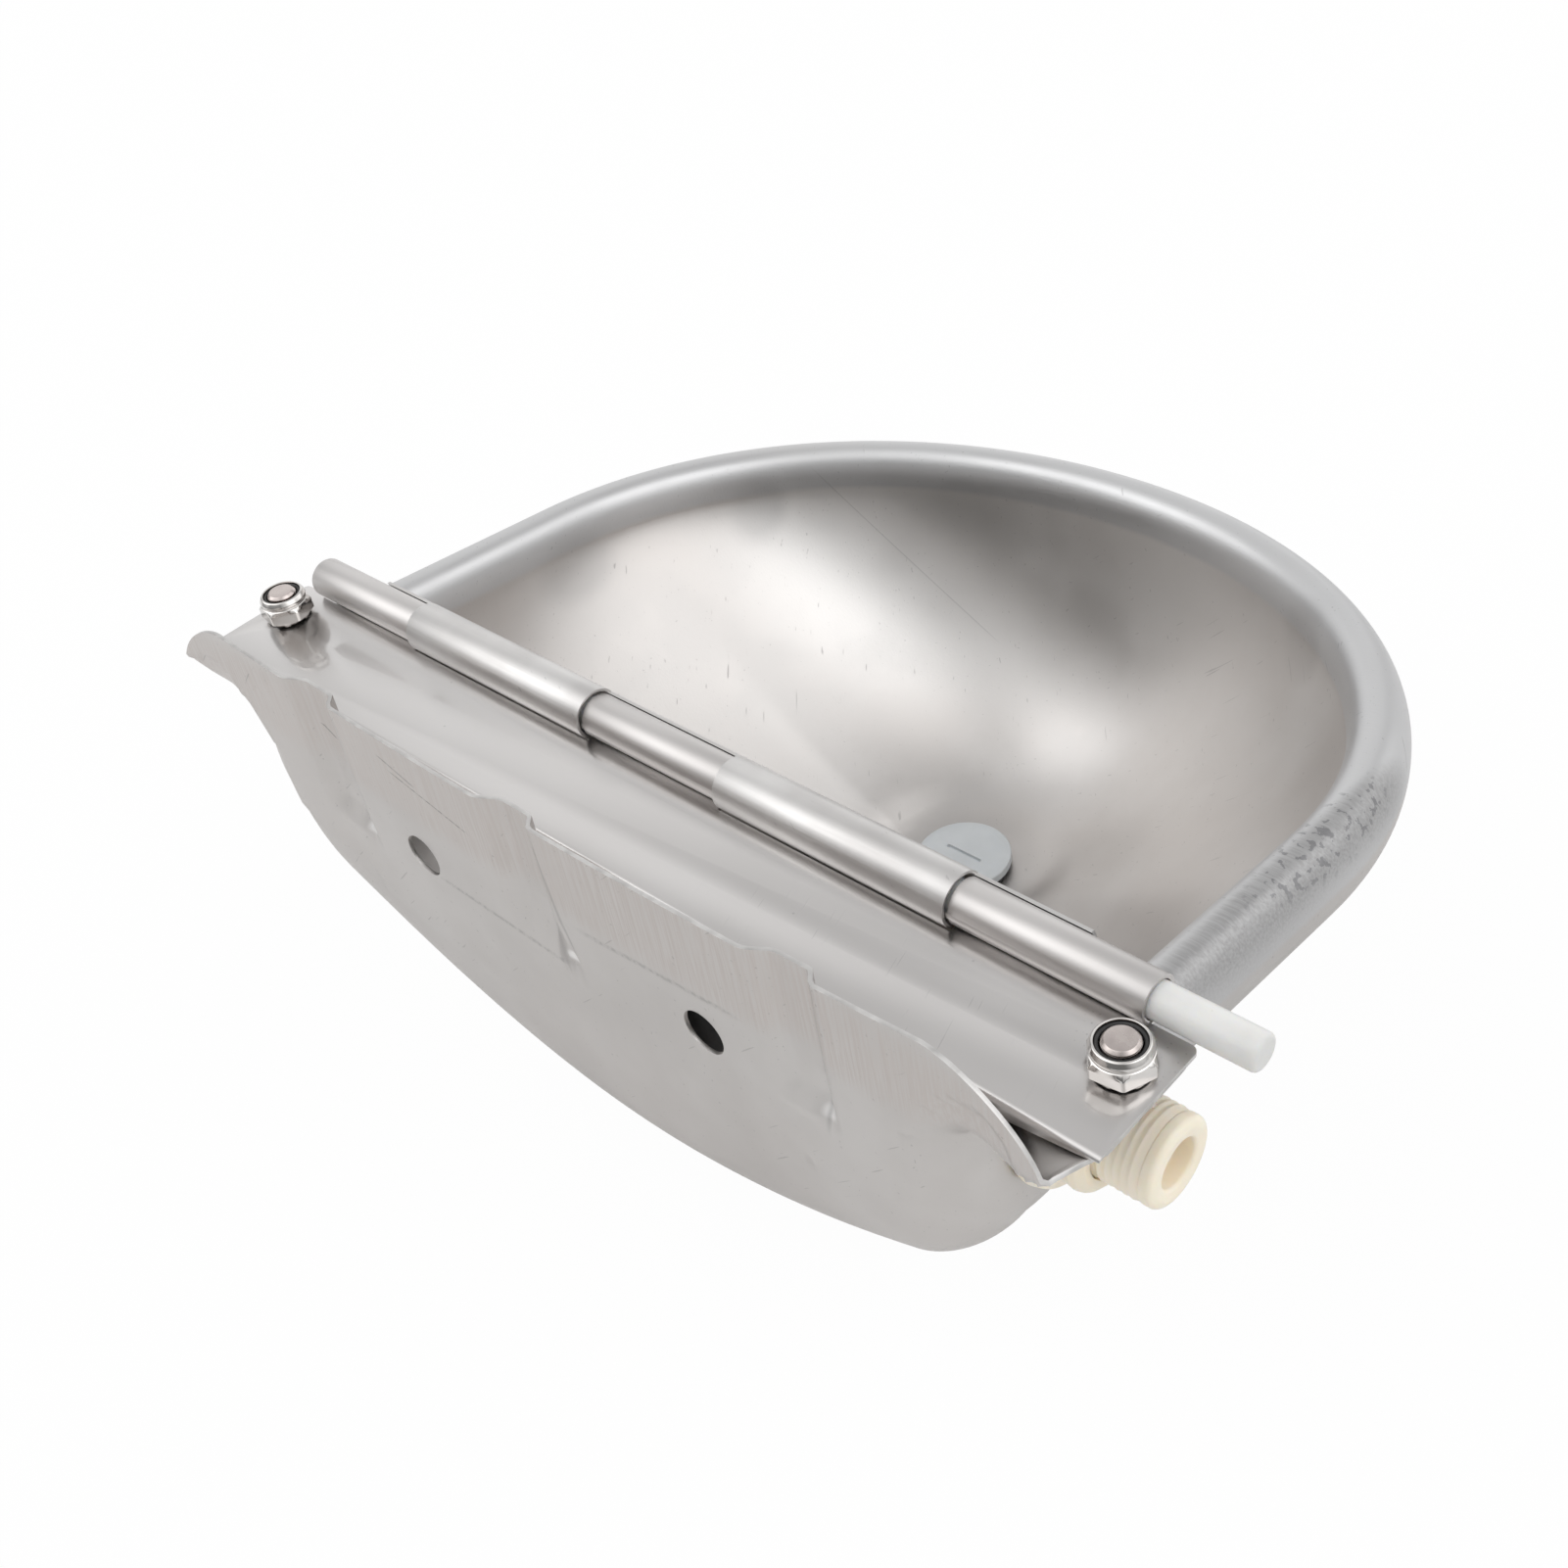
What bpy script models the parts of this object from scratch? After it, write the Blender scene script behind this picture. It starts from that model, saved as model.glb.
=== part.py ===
# Livestock drinking bowl: a pressed steel bowl with a float valve under a bolted cover and a swinging baffle.
# Frame: x runs across the bowl with the water inlet at -x, the bowl reaches out along -y, and z is up.
# The origin is on the wall face, on the centre line, 25 mm below the two fixing holes.
# Most shapes are worked out from "out", the distance from the wall, which is -y.

import math

import bmesh
import bpy
import numpy as np
from mathutils import Matrix

mm = 0.001
gap = 0.3 * mm

# Bowl
sheet = 1.0 * mm
bowl_half_width = 123.0 * mm
bowl_corner_radius = 18.0 * mm
bowl_side_straight_to = 115.0 * mm
bowl_front = 225.6 * mm
bowl_front_power = 2.04
wall_top = 33.0 * mm
rim_fall = 0.12
rim_fall_from = 30.0 * mm
floor_level = -64.8 * mm
plug_out = 143.0 * mm
back_depth = 99.0 * mm
side_depth = 54.0 * mm
front_depth = 78.0 * mm
back_powers = (10.0, 4.2)
side_powers = (1.95, 1.4)
front_powers = (3.0, 2.0)
body_roundness = 5.0
body_rounding = 6.0
floor_flat_radius = 17.0 * mm
floor_blend = 16.0 * mm
back_flatness = 0.6 * mm
roll_half_width = 7.6 * mm
roll_height = 12.2 * mm
roll_end_angle = -60.0

# Mounting plate and end flanges
flange_level = 43.7 * mm
flange_fillet = 3.0 * mm
bend_radius = 10.0 * mm
flange_beyond_bowl = 25.5 * mm
flange_to = 38.0 * mm
flange_fade = 20.0 * mm
corner_dip = 6.0 * mm
plate_edge_middle = 60.5 * mm
plate_edge_rise = 5.2 * mm
plate_straight_inside = 5.0 * mm
plate_end_power = 1.6
rib_shares = (-0.6545, 0.0407, 0.6545)
rib_half_width = 10.5 * mm
rib_depth = 3.2 * mm
rib_foot = 20.0 * mm
rib_fade = 7.0 * mm
wall_hole_half_pitch = 50.0 * mm
wall_hole_shift = -2.0 * mm
wall_hole_level = 25.0 * mm
wall_hole_radius = 6.0 * mm

# Cover, baffle and hinge
cover_top = 45.0 * mm
cover_sheet = 1.0 * mm
cover_beyond_flange = 0.5 * mm
cover_rear = 10.1 * mm
cover_lip = 4.5 * mm
cover_lip_beyond_bowl = 3.0 * mm
cover_corner_out = 42.8 * mm
hinge_out = 45.3 * mm
cover_curl_radius = 5.5 * mm
baffle_sheet = 0.8 * mm
baffle_curl_radius = 6.6 * mm
baffle_curl_end = 255.0
hinge_ends_from_bolts = (2.0 * mm, 0.5 * mm)
seam_shares = (-0.7341, -0.1748, 0.1967, 0.7683)
seam_gap = 0.6 * mm
slot_behind_curl = 0.6 * mm
baffle_ends_inside = (4.0 * mm, 6.5 * mm)
baffle_top = 2.2 * mm
baffle_bottom = -8.0 * mm
baffle_corner_radius = 25.0 * mm
pin_radius = 4.2 * mm
pin_beyond_hinge = (23.4 * mm, -3.5 * mm)
pin_chamfer = 1.2 * mm

# Cover bolts, M8
bolt_from_flange_end = 8.5 * mm
bolt_out = 30.4 * mm
bolt_radius = 4.0 * mm
bolt_tip = 53.6 * mm
bolt_hole_radius = 4.5 * mm
nut_across_flats = 13.0 * mm
nut_hex_height = 5.6 * mm
nut_turns = {"left": 7.0, "right": -8.0}
nut_height = 7.8 * mm
nut_crown_radius = 6.2 * mm
insert_radius = 5.0 * mm
insert_thick = 1.6 * mm
insert_depth = 0.5 * mm
bolt_head_height = 4.4 * mm

# Drain
drain_hole_radius = 7.6 * mm
plug_radius = 14.3 * mm
plug_head = 3.0 * mm
plug_stem_radius = 7.0 * mm
plug_slot = (13.0 * mm, 1.3 * mm, 1.1 * mm)
seal_radius = 13.9 * mm
seal_thick = 1.4 * mm
drain_nut_across_flats = 25.0 * mm
drain_nut_height = 6.0 * mm

# Inlet and float valve
inlet_out = 32.4 * mm
inlet_level = 22.5 * mm
inlet_pad_radius = 19.5 * mm
inlet_pad_fade = 14.0 * mm
inlet_beyond_bowl = 28.5 * mm
thread_radius = 10.4 * mm
thread_depth = 1.0 * mm
thread_pitch = 1.814 * mm
inlet_bore = 4.2 * mm
nut_flange_radius = 18.6 * mm
nut_flange_thick = 5.0 * mm
nut_waist_radius = 14.2 * mm
nut_collar_radius = 14.7 * mm
nut_length = 13.6 * mm
gasket_radius = 15.0 * mm
gasket_thick = 1.6 * mm
body_collar_radius = 14.5 * mm
body_collar_thick = 3.0 * mm
body_radius = 9.5 * mm
body_reach_inside = 35.0 * mm
seat_hole_radius = 2.2 * mm
seat_nose_radius = 3.6 * mm
seat_length = 4.0 * mm
plunger_radius = 6.0 * mm
plunger_length = 14.0 * mm
plunger_seal_radius = 5.0 * mm
plunger_seal_thick = 2.0 * mm
arm_swing = 16.0
pivot_inside = 47.0 * mm
pivot_radius = 1.5 * mm
nose_rise = 5.0 * mm
nose_reach = 2.0 * mm
nose_radius = 2.6 * mm
cheek_thick = 2.4 * mm
cheek_above = 5.0 * mm
cheek_beyond = 5.0 * mm
cheek_overlap = 8.0 * mm
arm_width = 12.0 * mm
arm_boss_radius = 3.5 * mm
arm_droop = 21.0
arm_length = 72.0 * mm
arm_height = 6.0 * mm
arm_pad = (18.0 * mm, 4.0 * mm)
float_size = (60.0 * mm, 25.0 * mm, 24.0 * mm)
float_setback = 3.0 * mm
float_round = 6.0 * mm
float_screw_place = 10.0 * mm
float_screw_depth = 12.0 * mm
float_screw_radius = 2.0 * mm
float_screw_head = (3.6 * mm, 2.4 * mm)

axis_x = (0.0, math.pi / 2, 0.0)
axis_y = (math.pi / 2, 0.0, 0.0)
upright = (0.0, 0.0, 0.0)
hands = (("left", -1), ("right", 1))
hinge_level = cover_top - cover_sheet + cover_curl_radius

# Widths that follow the bowl's
flange_half_width = bowl_half_width + flange_beyond_bowl
plate_straight_half = bowl_half_width - plate_straight_inside
rib_places = tuple(share * bowl_half_width for share in rib_shares)
cover_half_width = flange_half_width + cover_beyond_flange
cover_lip_half = bowl_half_width + cover_lip_beyond_bowl
bolt_half_pitch = flange_half_width - bolt_from_flange_end
hinge_end_minus = -(bolt_half_pitch - hinge_ends_from_bolts[0])
hinge_end_plus = bolt_half_pitch - hinge_ends_from_bolts[1]
seams = tuple(share * bowl_half_width for share in seam_shares)
baffle_ends = (baffle_ends_inside[0] - bowl_half_width, bowl_half_width - baffle_ends_inside[1])
pin_ends = (hinge_end_minus - pin_beyond_hinge[0], hinge_end_plus + pin_beyond_hinge[1])
inlet_end = -(bowl_half_width + inlet_beyond_bowl)
body_inner_end = -(bowl_half_width - body_reach_inside)
pivot_x = -(bowl_half_width - pivot_inside)
pivot_level = inlet_level - nose_rise
valve_travel = nose_rise * math.radians(arm_swing)


def start():
    for thing in list(bpy.data.objects):
        bpy.data.objects.remove(thing, do_unlink=True)
    made = []
    for name in ("livestock_drinking_bowl", "cutters"):
        collection = bpy.data.collections.new(name)
        bpy.context.scene.collection.children.link(collection)
        made.append(collection)
    return made


parts, cutters = start()


def material(name, colour, metallic, roughness):
    made = bpy.data.materials.new(name)
    made.use_nodes = True
    shader = made.node_tree.nodes["Principled BSDF"]
    shader.inputs["Base Color"].default_value = (*colour, 1.0)
    shader.inputs["Metallic"].default_value = metallic
    shader.inputs["Roughness"].default_value = roughness
    return made


bowl_steel = material("bowl_steel", (0.55, 0.54, 0.53), 1.0, 0.32)
cover_steel = material("cover_steel", (0.60, 0.59, 0.58), 1.0, 0.18)
baffle_steel = material("baffle_steel", (0.62, 0.61, 0.60), 1.0, 0.28)
nut_steel = material("nut_steel", (0.68, 0.66, 0.64), 1.0, 0.12)
bolt_steel = material("bolt_steel", (0.58, 0.52, 0.50), 1.0, 0.25)
insert_nylon = material("insert_nylon", (0.03, 0.03, 0.035), 0.0, 0.45)
pin_plastic = material("pin_plastic", (0.82, 0.83, 0.81), 0.0, 0.40)
plug_plastic = material("plug_plastic", (0.60, 0.63, 0.65), 0.0, 0.45)
black_rubber = material("black_rubber", (0.02, 0.02, 0.02), 0.0, 0.70)
cream_plastic = material("cream_plastic", (0.88, 0.80, 0.64), 0.0, 0.42)
float_plastic = material("float_plastic", (0.85, 0.85, 0.83), 0.0, 0.45)
brass = material("brass", (0.70, 0.55, 0.28), 1.0, 0.30)


def add(name, mesh, look, place=(0.0, 0.0, 0.0), turn=(0.0, 0.0, 0.0), into=None):
    thing = bpy.data.objects.new(name, mesh)
    thing.location = place
    thing.rotation_euler = turn
    (into or parts).objects.link(thing)
    if look:
        mesh.materials.append(look)
    if into is cutters:
        thing.hide_render = True
        thing.display_type = "WIRE"
    return thing


def smooth(thing, angle=35.0):
    thing.data.shade_smooth()
    thing.data.set_sharp_from_angle(angle=math.radians(angle))
    return thing


def box(name, low, high, look=None, into=None):
    mesh = bpy.data.meshes.new(name)
    shape = bmesh.new()
    bmesh.ops.create_cube(shape, size=1.0)
    size = [h - l for l, h in zip(low, high)]
    bmesh.ops.scale(shape, vec=size, verts=shape.verts)
    shape.to_mesh(mesh)
    shape.free()
    middle = [(l + h) / 2 for l, h in zip(low, high)]
    return add(name, mesh, look, middle, into=into)


def rod(name, radius, ends, place, turn, look=None, into=None, sides=32):
    mesh = bpy.data.meshes.new(name)
    shape = bmesh.new()
    length = ends[1] - ends[0]
    bmesh.ops.create_cone(shape, cap_ends=True, segments=sides, radius1=radius, radius2=radius, depth=length)
    bmesh.ops.translate(shape, vec=(0.0, 0.0, (ends[0] + ends[1]) / 2), verts=shape.verts)
    shape.to_mesh(mesh)
    shape.free()
    return add(name, mesh, look, place, turn, into)


def turned(name, profile, place, turn, look=None, into=None, sides=32):
    # The profile is (radius, height) points, down the outer side from the top.
    mesh = bpy.data.meshes.new(name)
    points = [(r, 0.0, h) for r, h in profile]
    closed = profile[0][0] > 0.0
    edges = [(i, i + 1) for i in range(len(points) - 1)]
    if closed:
        edges.append((len(points) - 1, 0))
    mesh.from_pydata(points, edges, [])
    thing = add(name, mesh, look, place, turn, into)
    screw = thing.modifiers.new("turn", "SCREW")
    screw.steps = sides
    screw.render_steps = sides
    screw.use_merge_vertices = True
    screw.merge_threshold = 0.00001
    screw.use_normal_calculate = False
    return thing


def hexagon(name, across_flats, ends, place, degrees, look=None, into=None):
    # An upright hexagon with one corner at the given angle from +x.
    turn = (0.0, 0.0, math.radians(degrees + 30.0))
    return rod(name, across_flats / math.sqrt(3.0), ends, place, turn, look, into, sides=6)


def boolean(thing, other, operation="DIFFERENCE"):
    step = thing.modifiers.new(other.name, "BOOLEAN")
    step.operation = operation
    step.object = other
    return step


def apply_modifiers(thing):
    bpy.context.view_layer.update()
    graph = bpy.context.evaluated_depsgraph_get()
    mesh = bpy.data.meshes.new_from_object(thing.evaluated_get(graph))
    thing.modifiers.clear()
    thing.data = mesh
    return thing


def bevel(thing, width, segments=2, angle=30.0):
    step = thing.modifiers.new("round", "BEVEL")
    step.width = width
    step.segments = segments
    step.limit_method = "ANGLE"
    step.angle_limit = math.radians(angle)
    return thing


def solidify(thing, thickness, offset=-1.0):
    step = thing.modifiers.new("sheet", "SOLIDIFY")
    step.thickness = thickness
    step.offset = offset
    step.use_even_offset = True
    return thing


def step_up(t):
    t = np.clip(t, 0.0, 1.0)
    return t * t * (3.0 - 2.0 * t)


def grid_mesh(name, grid, looped):
    # Joins rows of points (rows, stations, 3) with quads, so that a grid's face looks up where
    # its rows run outward and its stations run anticlockwise.
    rows, stations = grid.shape[:2]
    index = np.arange(rows * stations).reshape(rows, stations)
    right = np.roll(index, -1, axis=1) if looped else index[:, 1:]
    left = index if looped else index[:, :-1]
    quads = np.stack([left[:-1], left[1:], right[1:], right[:-1]], axis=-1).reshape(-1, 4)
    mesh = bpy.data.meshes.new(name)
    mesh.from_pydata(grid.reshape(-1, 3).tolist(), [], quads.tolist())
    return mesh


def polyline_at(points, places):
    steps = np.linalg.norm(np.diff(points, axis=0), axis=1)
    along = np.concatenate([[0.0], np.cumsum(steps)])
    return np.stack([np.interp(places * along[-1], along, points[:, k]) for k in range(2)], axis=1)


def wall_top_level(out):
    return wall_top - rim_fall * np.clip(out - rim_fall_from, 0.0, None)


def plate_edge_level(x):
    return plate_edge_middle + plate_edge_rise * np.clip(np.abs(x) / plate_straight_half, 0.0, 1.0) ** 2


def bowl_outline():
    # Half of the wall's top outline from the middle of the back to the middle of the front, as (x, out).
    # The groups are the back, the rounded back corner with the side under the cover, and the open rim.
    near_rib = rib_places[2] + rib_half_width * np.array([-1.1, -0.5, 0.0, 0.5, 1.1])
    on_rib = rib_places[1] + rib_half_width * np.array([0.0, 0.5, 1.0])
    between = on_rib[-1] + (near_rib[0] - on_rib[-1]) * np.array([0.38, 0.83])
    corner_start = bowl_half_width - bowl_corner_radius
    last = near_rib[-1] + 0.55 * (corner_start - near_rib[-1])
    back_x = np.concatenate([[0.0], on_rib, between, near_rib, [last]])
    back = np.stack([back_x, np.full(len(back_x), sheet)], axis=1)
    turn = np.linspace(0.0, math.pi / 2, 7)
    corner = np.stack([
        corner_start + bowl_corner_radius * np.sin(turn),
        sheet + bowl_corner_radius * (1.0 - np.cos(turn)),
    ], axis=1)
    corner_end = sheet + bowl_corner_radius
    side_out = corner_end + (flange_to - corner_end) * np.array([0.26, 0.58, 1.0])
    side = np.stack([np.full(3, bowl_half_width), side_out], axis=1)
    fade_out = flange_to + flange_fade * np.array([0.35, 0.7, 1.1])
    plain_out = fade_out[-1] + (bowl_side_straight_to - fade_out[-1]) * np.array([1.0, 2.0]) / 3.0
    rim_side = np.stack([np.full(5, bowl_half_width), [*fade_out, *plain_out]], axis=1)
    round_turn = np.linspace(0.0, math.pi / 2, 120)
    front = np.stack([
        bowl_half_width * np.cos(round_turn) ** (2.0 / bowl_front_power),
        bowl_side_straight_to
        + (bowl_front - bowl_side_straight_to) * np.sin(round_turn) ** (2.0 / bowl_front_power),
    ], axis=1)
    front = polyline_at(front, np.linspace(0.0, 1.0, 12))
    front[-1, 0] = 0.0
    return back, np.concatenate([corner, side]), np.concatenate([rim_side, front])


def bent(x, developed):
    # A point of the flat flange, bent up into the plate where it lies behind the bend.
    inner = bend_radius - sheet
    run = np.clip(bend_radius - developed, 0.0, None)
    angle = np.minimum(run / inner, math.pi / 2)
    up = np.clip(run - inner * math.pi / 2, 0.0, None)
    out = np.where(run > 0.0, bend_radius - inner * np.sin(angle), developed)
    level = flange_level + inner * (1.0 - np.cos(angle)) + up
    return np.stack([np.broadcast_to(x, out.shape), out, level], axis=-1)


def developed_edge():
    inner = bend_radius - sheet
    rise = plate_edge_level(plate_straight_half) - flange_level - inner
    return bend_radius - inner * math.pi / 2 - rise


def apron_rows(outline_groups, rows=9):
    # The sheet beyond the wall's top: plate, end flange and rolled rim, one column for each station.
    back, corner, rim = outline_groups
    share = np.linspace(0.0, 1.0, rows)[:, None]
    columns = []
    stretch_from = rib_places[2] + 1.1 * rib_half_width
    stretch_to = bowl_half_width - bowl_corner_radius
    for x, out in back:
        grow = np.clip((x - stretch_from) / (stretch_to - stretch_from), 0.0, 1.0)
        edge_x = x + grow * (plate_straight_half - stretch_to)
        start_point = np.array([x, out, wall_top])
        end_point = np.array([edge_x, sheet, plate_edge_level(edge_x)])
        columns.append(start_point + share * (end_point - start_point))
    edge = developed_edge()
    end_reach = flange_half_width - plate_straight_half
    rounds = 7
    for place, (x, out) in enumerate(corner):
        turn = min(place / (rounds - 1), 1.0) * math.pi / 2
        edge_x = plate_straight_half + end_reach * math.sin(turn) ** (2.0 / plate_end_power)
        edge_y = bend_radius + (edge - bend_radius) * max(math.cos(turn), 0.0) ** (2.0 / plate_end_power)
        if place >= rounds:
            edge_y = out
        if place == rounds - 1:
            edge_y = bend_radius + gap
        columns.append(flange_column(x, out, edge_x, edge_y, turn, share))
    flat_turn = math.pi / 2
    for place, (x, out) in enumerate(rim):
        rolled = roll_column(rim, place, share)
        keep = 1.0 - step_up((out - flange_to) / flange_fade)
        if keep > 0.0:
            flat = flange_column(x, out, flange_half_width, out, flat_turn, share)
            rolled = keep * flat + (1.0 - keep) * rolled
        columns.append(rolled)
    return np.stack(columns, axis=1)


def flange_column(x, out, edge_x, edge_y, turn, share):
    start_point = np.array([x, out, wall_top_level(out)])
    edge_point = bent(np.array([edge_x]), np.array([edge_y]))[0]
    straight = start_point + share * (edge_point - start_point)
    fillet_rows = 4
    rows = len(share)
    fillet = np.linspace(0.0, math.pi / 2, fillet_rows - 1)
    away = np.array([edge_x - x, edge_y - out])
    away /= np.linalg.norm(away)
    reach = flange_fillet * (1.0 - np.cos(fillet))
    flat = np.zeros((rows, 3))
    flat[0] = start_point
    flat[1:fillet_rows, 0] = x + away[0] * reach
    flat[1:fillet_rows, 1] = out + away[1] * reach
    flat[1:fillet_rows, 2] = flange_level - flange_fillet * (1.0 - np.sin(fillet))
    run = np.linspace(0.0, 1.0, rows - fillet_rows + 1)[1:]
    run_x = flat[fillet_rows - 1, 0] + run * (edge_x - flat[fillet_rows - 1, 0])
    run_y = flat[fillet_rows - 1, 1] + run * (edge_y - flat[fillet_rows - 1, 1])
    flat[fillet_rows:] = bent(run_x, run_y)
    toward_side = step_up((out - sheet) / bowl_corner_radius)
    dip_here = corner_dip * toward_side * (1.0 - step_up((out - 18.0 * mm) / (5.0 * mm)))
    flat[:, 2] -= dip_here * np.sin(math.pi * share[:, 0]) ** 0.8
    flat[0, 2] = start_point[2]
    return toward_side * flat + (1.0 - toward_side) * straight


def roll_column(rim, place, share):
    before = rim[max(place - 1, 0)]
    after = rim[min(place + 1, len(rim) - 1)]
    along = after - before
    if place == len(rim) - 1:
        along = np.array([-1.0, 0.0])
    along = along / np.linalg.norm(along)
    outward = np.array([along[1], -along[0]])
    turn = math.pi + share[:, 0] * (math.radians(roll_end_angle) - math.pi)
    reach = roll_half_width * (1.0 + np.cos(turn))
    flat = rim[place] + reach[:, None] * outward
    level = wall_top_level(rim[place][1]) + roll_height * np.sin(turn)
    return np.column_stack([flat, level])


def body_rows(half):
    # The pressed body below the wall's top, from the drain hole's edge out to the wall.
    middle = np.array([0.0, plug_out])
    offset = half - middle
    radius = np.linalg.norm(offset, axis=1)
    side_share = offset[:, 0] / radius
    front_share = offset[:, 1] / radius
    reach = np.where(front_share < 0.0, plug_out - sheet, bowl_front - plug_out)
    power = body_roundness
    across = np.abs(side_share / bowl_half_width) ** power
    oval = (across + np.abs(front_share / reach) ** power) ** (-1 / power)
    oval = np.minimum(oval, radius)
    back_weight = np.clip(-front_share, 0.0, 1.0) ** 2
    front_weight = np.clip(front_share, 0.0, 1.0) ** 2
    side_weight = 1.0 - back_weight - front_weight

    def mixed(back, side, front):
        return back_weight * back + side_weight * side + front_weight * front

    depth_edge = mixed(back_depth, side_depth, front_depth)
    run_power = mixed(back_powers[0], side_powers[0], front_powers[0])
    drop_power = mixed(back_powers[1], side_powers[1], front_powers[1])
    middle_depth = wall_top_level(plug_out) - floor_level
    turns = np.radians([10.0, 20.0, 30.0, 40.0, 50.0, 59.0, 67.0, 73.5, 79.0, 83.5, 87.0])
    rows = []
    for ring in (drain_hole_radius, floor_flat_radius):
        flat = middle + ring * offset / radius[:, None]
        rows.append(np.column_stack([flat, np.full(len(half), floor_level)]))
    for turn in turns:
        run = math.sin(turn) ** (2.0 / run_power)
        drop = math.cos(turn) ** (2.0 / drop_power)
        near_wall = run ** body_rounding
        here = run * (radius * near_wall + oval * (1.0 - near_wall))
        here = np.maximum(here, floor_flat_radius * (1.0 + 0.7 * turn))
        flat = middle + here[:, None] * offset / radius[:, None]
        depth = middle_depth + (depth_edge - middle_depth) * run**2
        level = wall_top_level(flat[:, 1]) - depth * drop
        blend = step_up((here - floor_flat_radius) / floor_blend)
        level = floor_level + blend * (level - floor_level)
        rows.append(np.column_stack([flat, level]))
    return np.stack(rows)


def flatten_pads(grid):
    # The wall is flat where the fitting's nut and gasket press on it, and the back is flat
    # against the building.
    x, out, level = grid[..., 0], grid[..., 1], grid[..., 2]
    far = np.hypot(out - inlet_out, level - inlet_level)
    flat = 1.0 - step_up((far - inlet_pad_radius) / inlet_pad_fade)
    inside = (x > 0.8 * bowl_half_width) & (x < bowl_half_width)
    grid[..., 0] = np.where(inside, x + flat * (bowl_half_width - x), x)
    grid[..., 1] = np.where(out < sheet + back_flatness, sheet, out)


def press_ribs(grid):
    # Three upright grooves pressed into the plate from behind, away from the wall.
    x, out, level = grid[..., 0], grid[..., 1], grid[..., 2]
    on_plate = step_up(1.0 - (out - sheet) / (4.0 * mm))
    up = step_up((level - rib_foot) / rib_fade)
    push = np.zeros_like(x)
    for place in rib_places:
        push += 1.0 - step_up((np.abs(x - place) / rib_half_width - 0.25) / 0.75)
    grid[..., 1] = out + rib_depth * push * up * on_plate


def bowl_grid():
    groups = bowl_outline()
    half = np.concatenate(groups)
    grid = np.concatenate([body_rows(half), apron_rows(groups)])
    flatten_pads(grid)
    other = grid[:, -2:0:-1].copy()
    other[..., 0] *= -1.0
    whole = np.concatenate([grid, other], axis=1)
    press_ribs(whole)
    whole[..., 1] *= -1.0
    return whole[:, ::-1]


def make_bowl():
    bowl = add("bowl_shell", grid_mesh("bowl_shell", bowl_grid(), True), bowl_steel)
    smooth(bowl, 50.0)
    solidify(bowl, sheet)
    for tag, side in hands:
        place = (wall_hole_shift + side * wall_hole_half_pitch, 0.0, wall_hole_level)
        hole = rod(f"wall_hole_{tag}", wall_hole_radius, (-8 * mm, 8 * mm), place, axis_y, into=cutters)
        boolean(bowl, hole)
        place = (side * bolt_half_pitch, -bolt_out, flange_level)
        hole = rod(f"bolt_hole_{tag}", bolt_hole_radius, (-6 * mm, 6 * mm), place, upright, into=cutters)
        boolean(bowl, hole)
    place = (-bowl_half_width, -inlet_out, inlet_level)
    hole = rod("inlet_hole", thread_radius + gap, (-9 * mm, 9 * mm), place, axis_x, into=cutters)
    boolean(bowl, hole)
    return bowl


def swept_sheet(name, profile, ends, look, thickness, offset):
    # A bent sheet: the profile is (out, level) points, swept along x.
    grid = np.zeros((len(profile), 2, 3))
    for place, x in enumerate(ends):
        grid[:, place, 0] = x
        grid[:, place, 1] = [-out for out, level in profile]
        grid[:, place, 2] = [level for out, level in profile]
    thing = add(name, grid_mesh(name, grid, False), look)
    return solidify(thing, thickness, offset)


def arc(middle, radius, first, last, count):
    turns = np.radians(np.linspace(first, last, count))
    return [(middle[0] + radius * math.cos(t), middle[1] + radius * math.sin(t)) for t in turns]


def make_cover():
    # The sheet's underside runs from the lip along the flat and round the curl.
    middle = (hinge_out, hinge_level)
    low = cover_top - cover_sheet
    last = 180.0 + math.degrees(math.asin((hinge_level - cover_top - gap) / cover_curl_radius))
    curl = arc(middle, cover_curl_radius, -90.0, last, 21)
    rear = cover_rear + cover_sheet
    profile = [(rear, cover_top - cover_lip), (rear, low), (hinge_out - 10.0 * mm, low)] + curl
    ends = (-cover_half_width, cover_half_width)
    cover = swept_sheet("cover_plate", profile, ends, cover_steel, cover_sheet, 1.0)
    reach = math.sqrt(baffle_curl_radius**2 - (hinge_level - cover_top) ** 2) + slot_behind_curl
    high = hinge_level + 10.0 * mm
    gaps = [(seams[0], seams[1]), (seams[2], seams[3])]
    for place, (first, last) in enumerate(gaps):
        low_corner = (first, -hinge_out - 12.0 * mm, low - 9.0 * mm)
        high_corner = (last, -hinge_out + reach, high)
        boolean(cover, box(f"cover_gap_{place}", low_corner, high_corner, into=cutters))
    far = cover_half_width + 5.0 * mm
    for place, (first, last) in enumerate(((-far, hinge_end_minus), (hinge_end_plus, far))):
        low_corner = (first, -hinge_out - 12.0 * mm, low - 9.0 * mm)
        high_corner = (last, -cover_corner_out, high)
        boolean(cover, box(f"cover_end_{place}", low_corner, high_corner, into=cutters))
        low_corner = (first, -hinge_out - 12.0 * mm, cover_top + gap / 2)
        high_corner = (last, -hinge_out + 12.0 * mm, high)
        boolean(cover, box(f"curl_end_{place}", low_corner, high_corner, into=cutters))
    for tag, side in hands:
        boolean(cover, lip_wedge(f"lip_wedge_{tag}", side))
        place = (side * bolt_half_pitch, -bolt_out, cover_top)
        hole = rod(f"cover_hole_{tag}", bolt_hole_radius, (-6 * mm, 6 * mm), place, upright, into=cutters)
        boolean(cover, hole)
    return smooth(cover)


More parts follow.
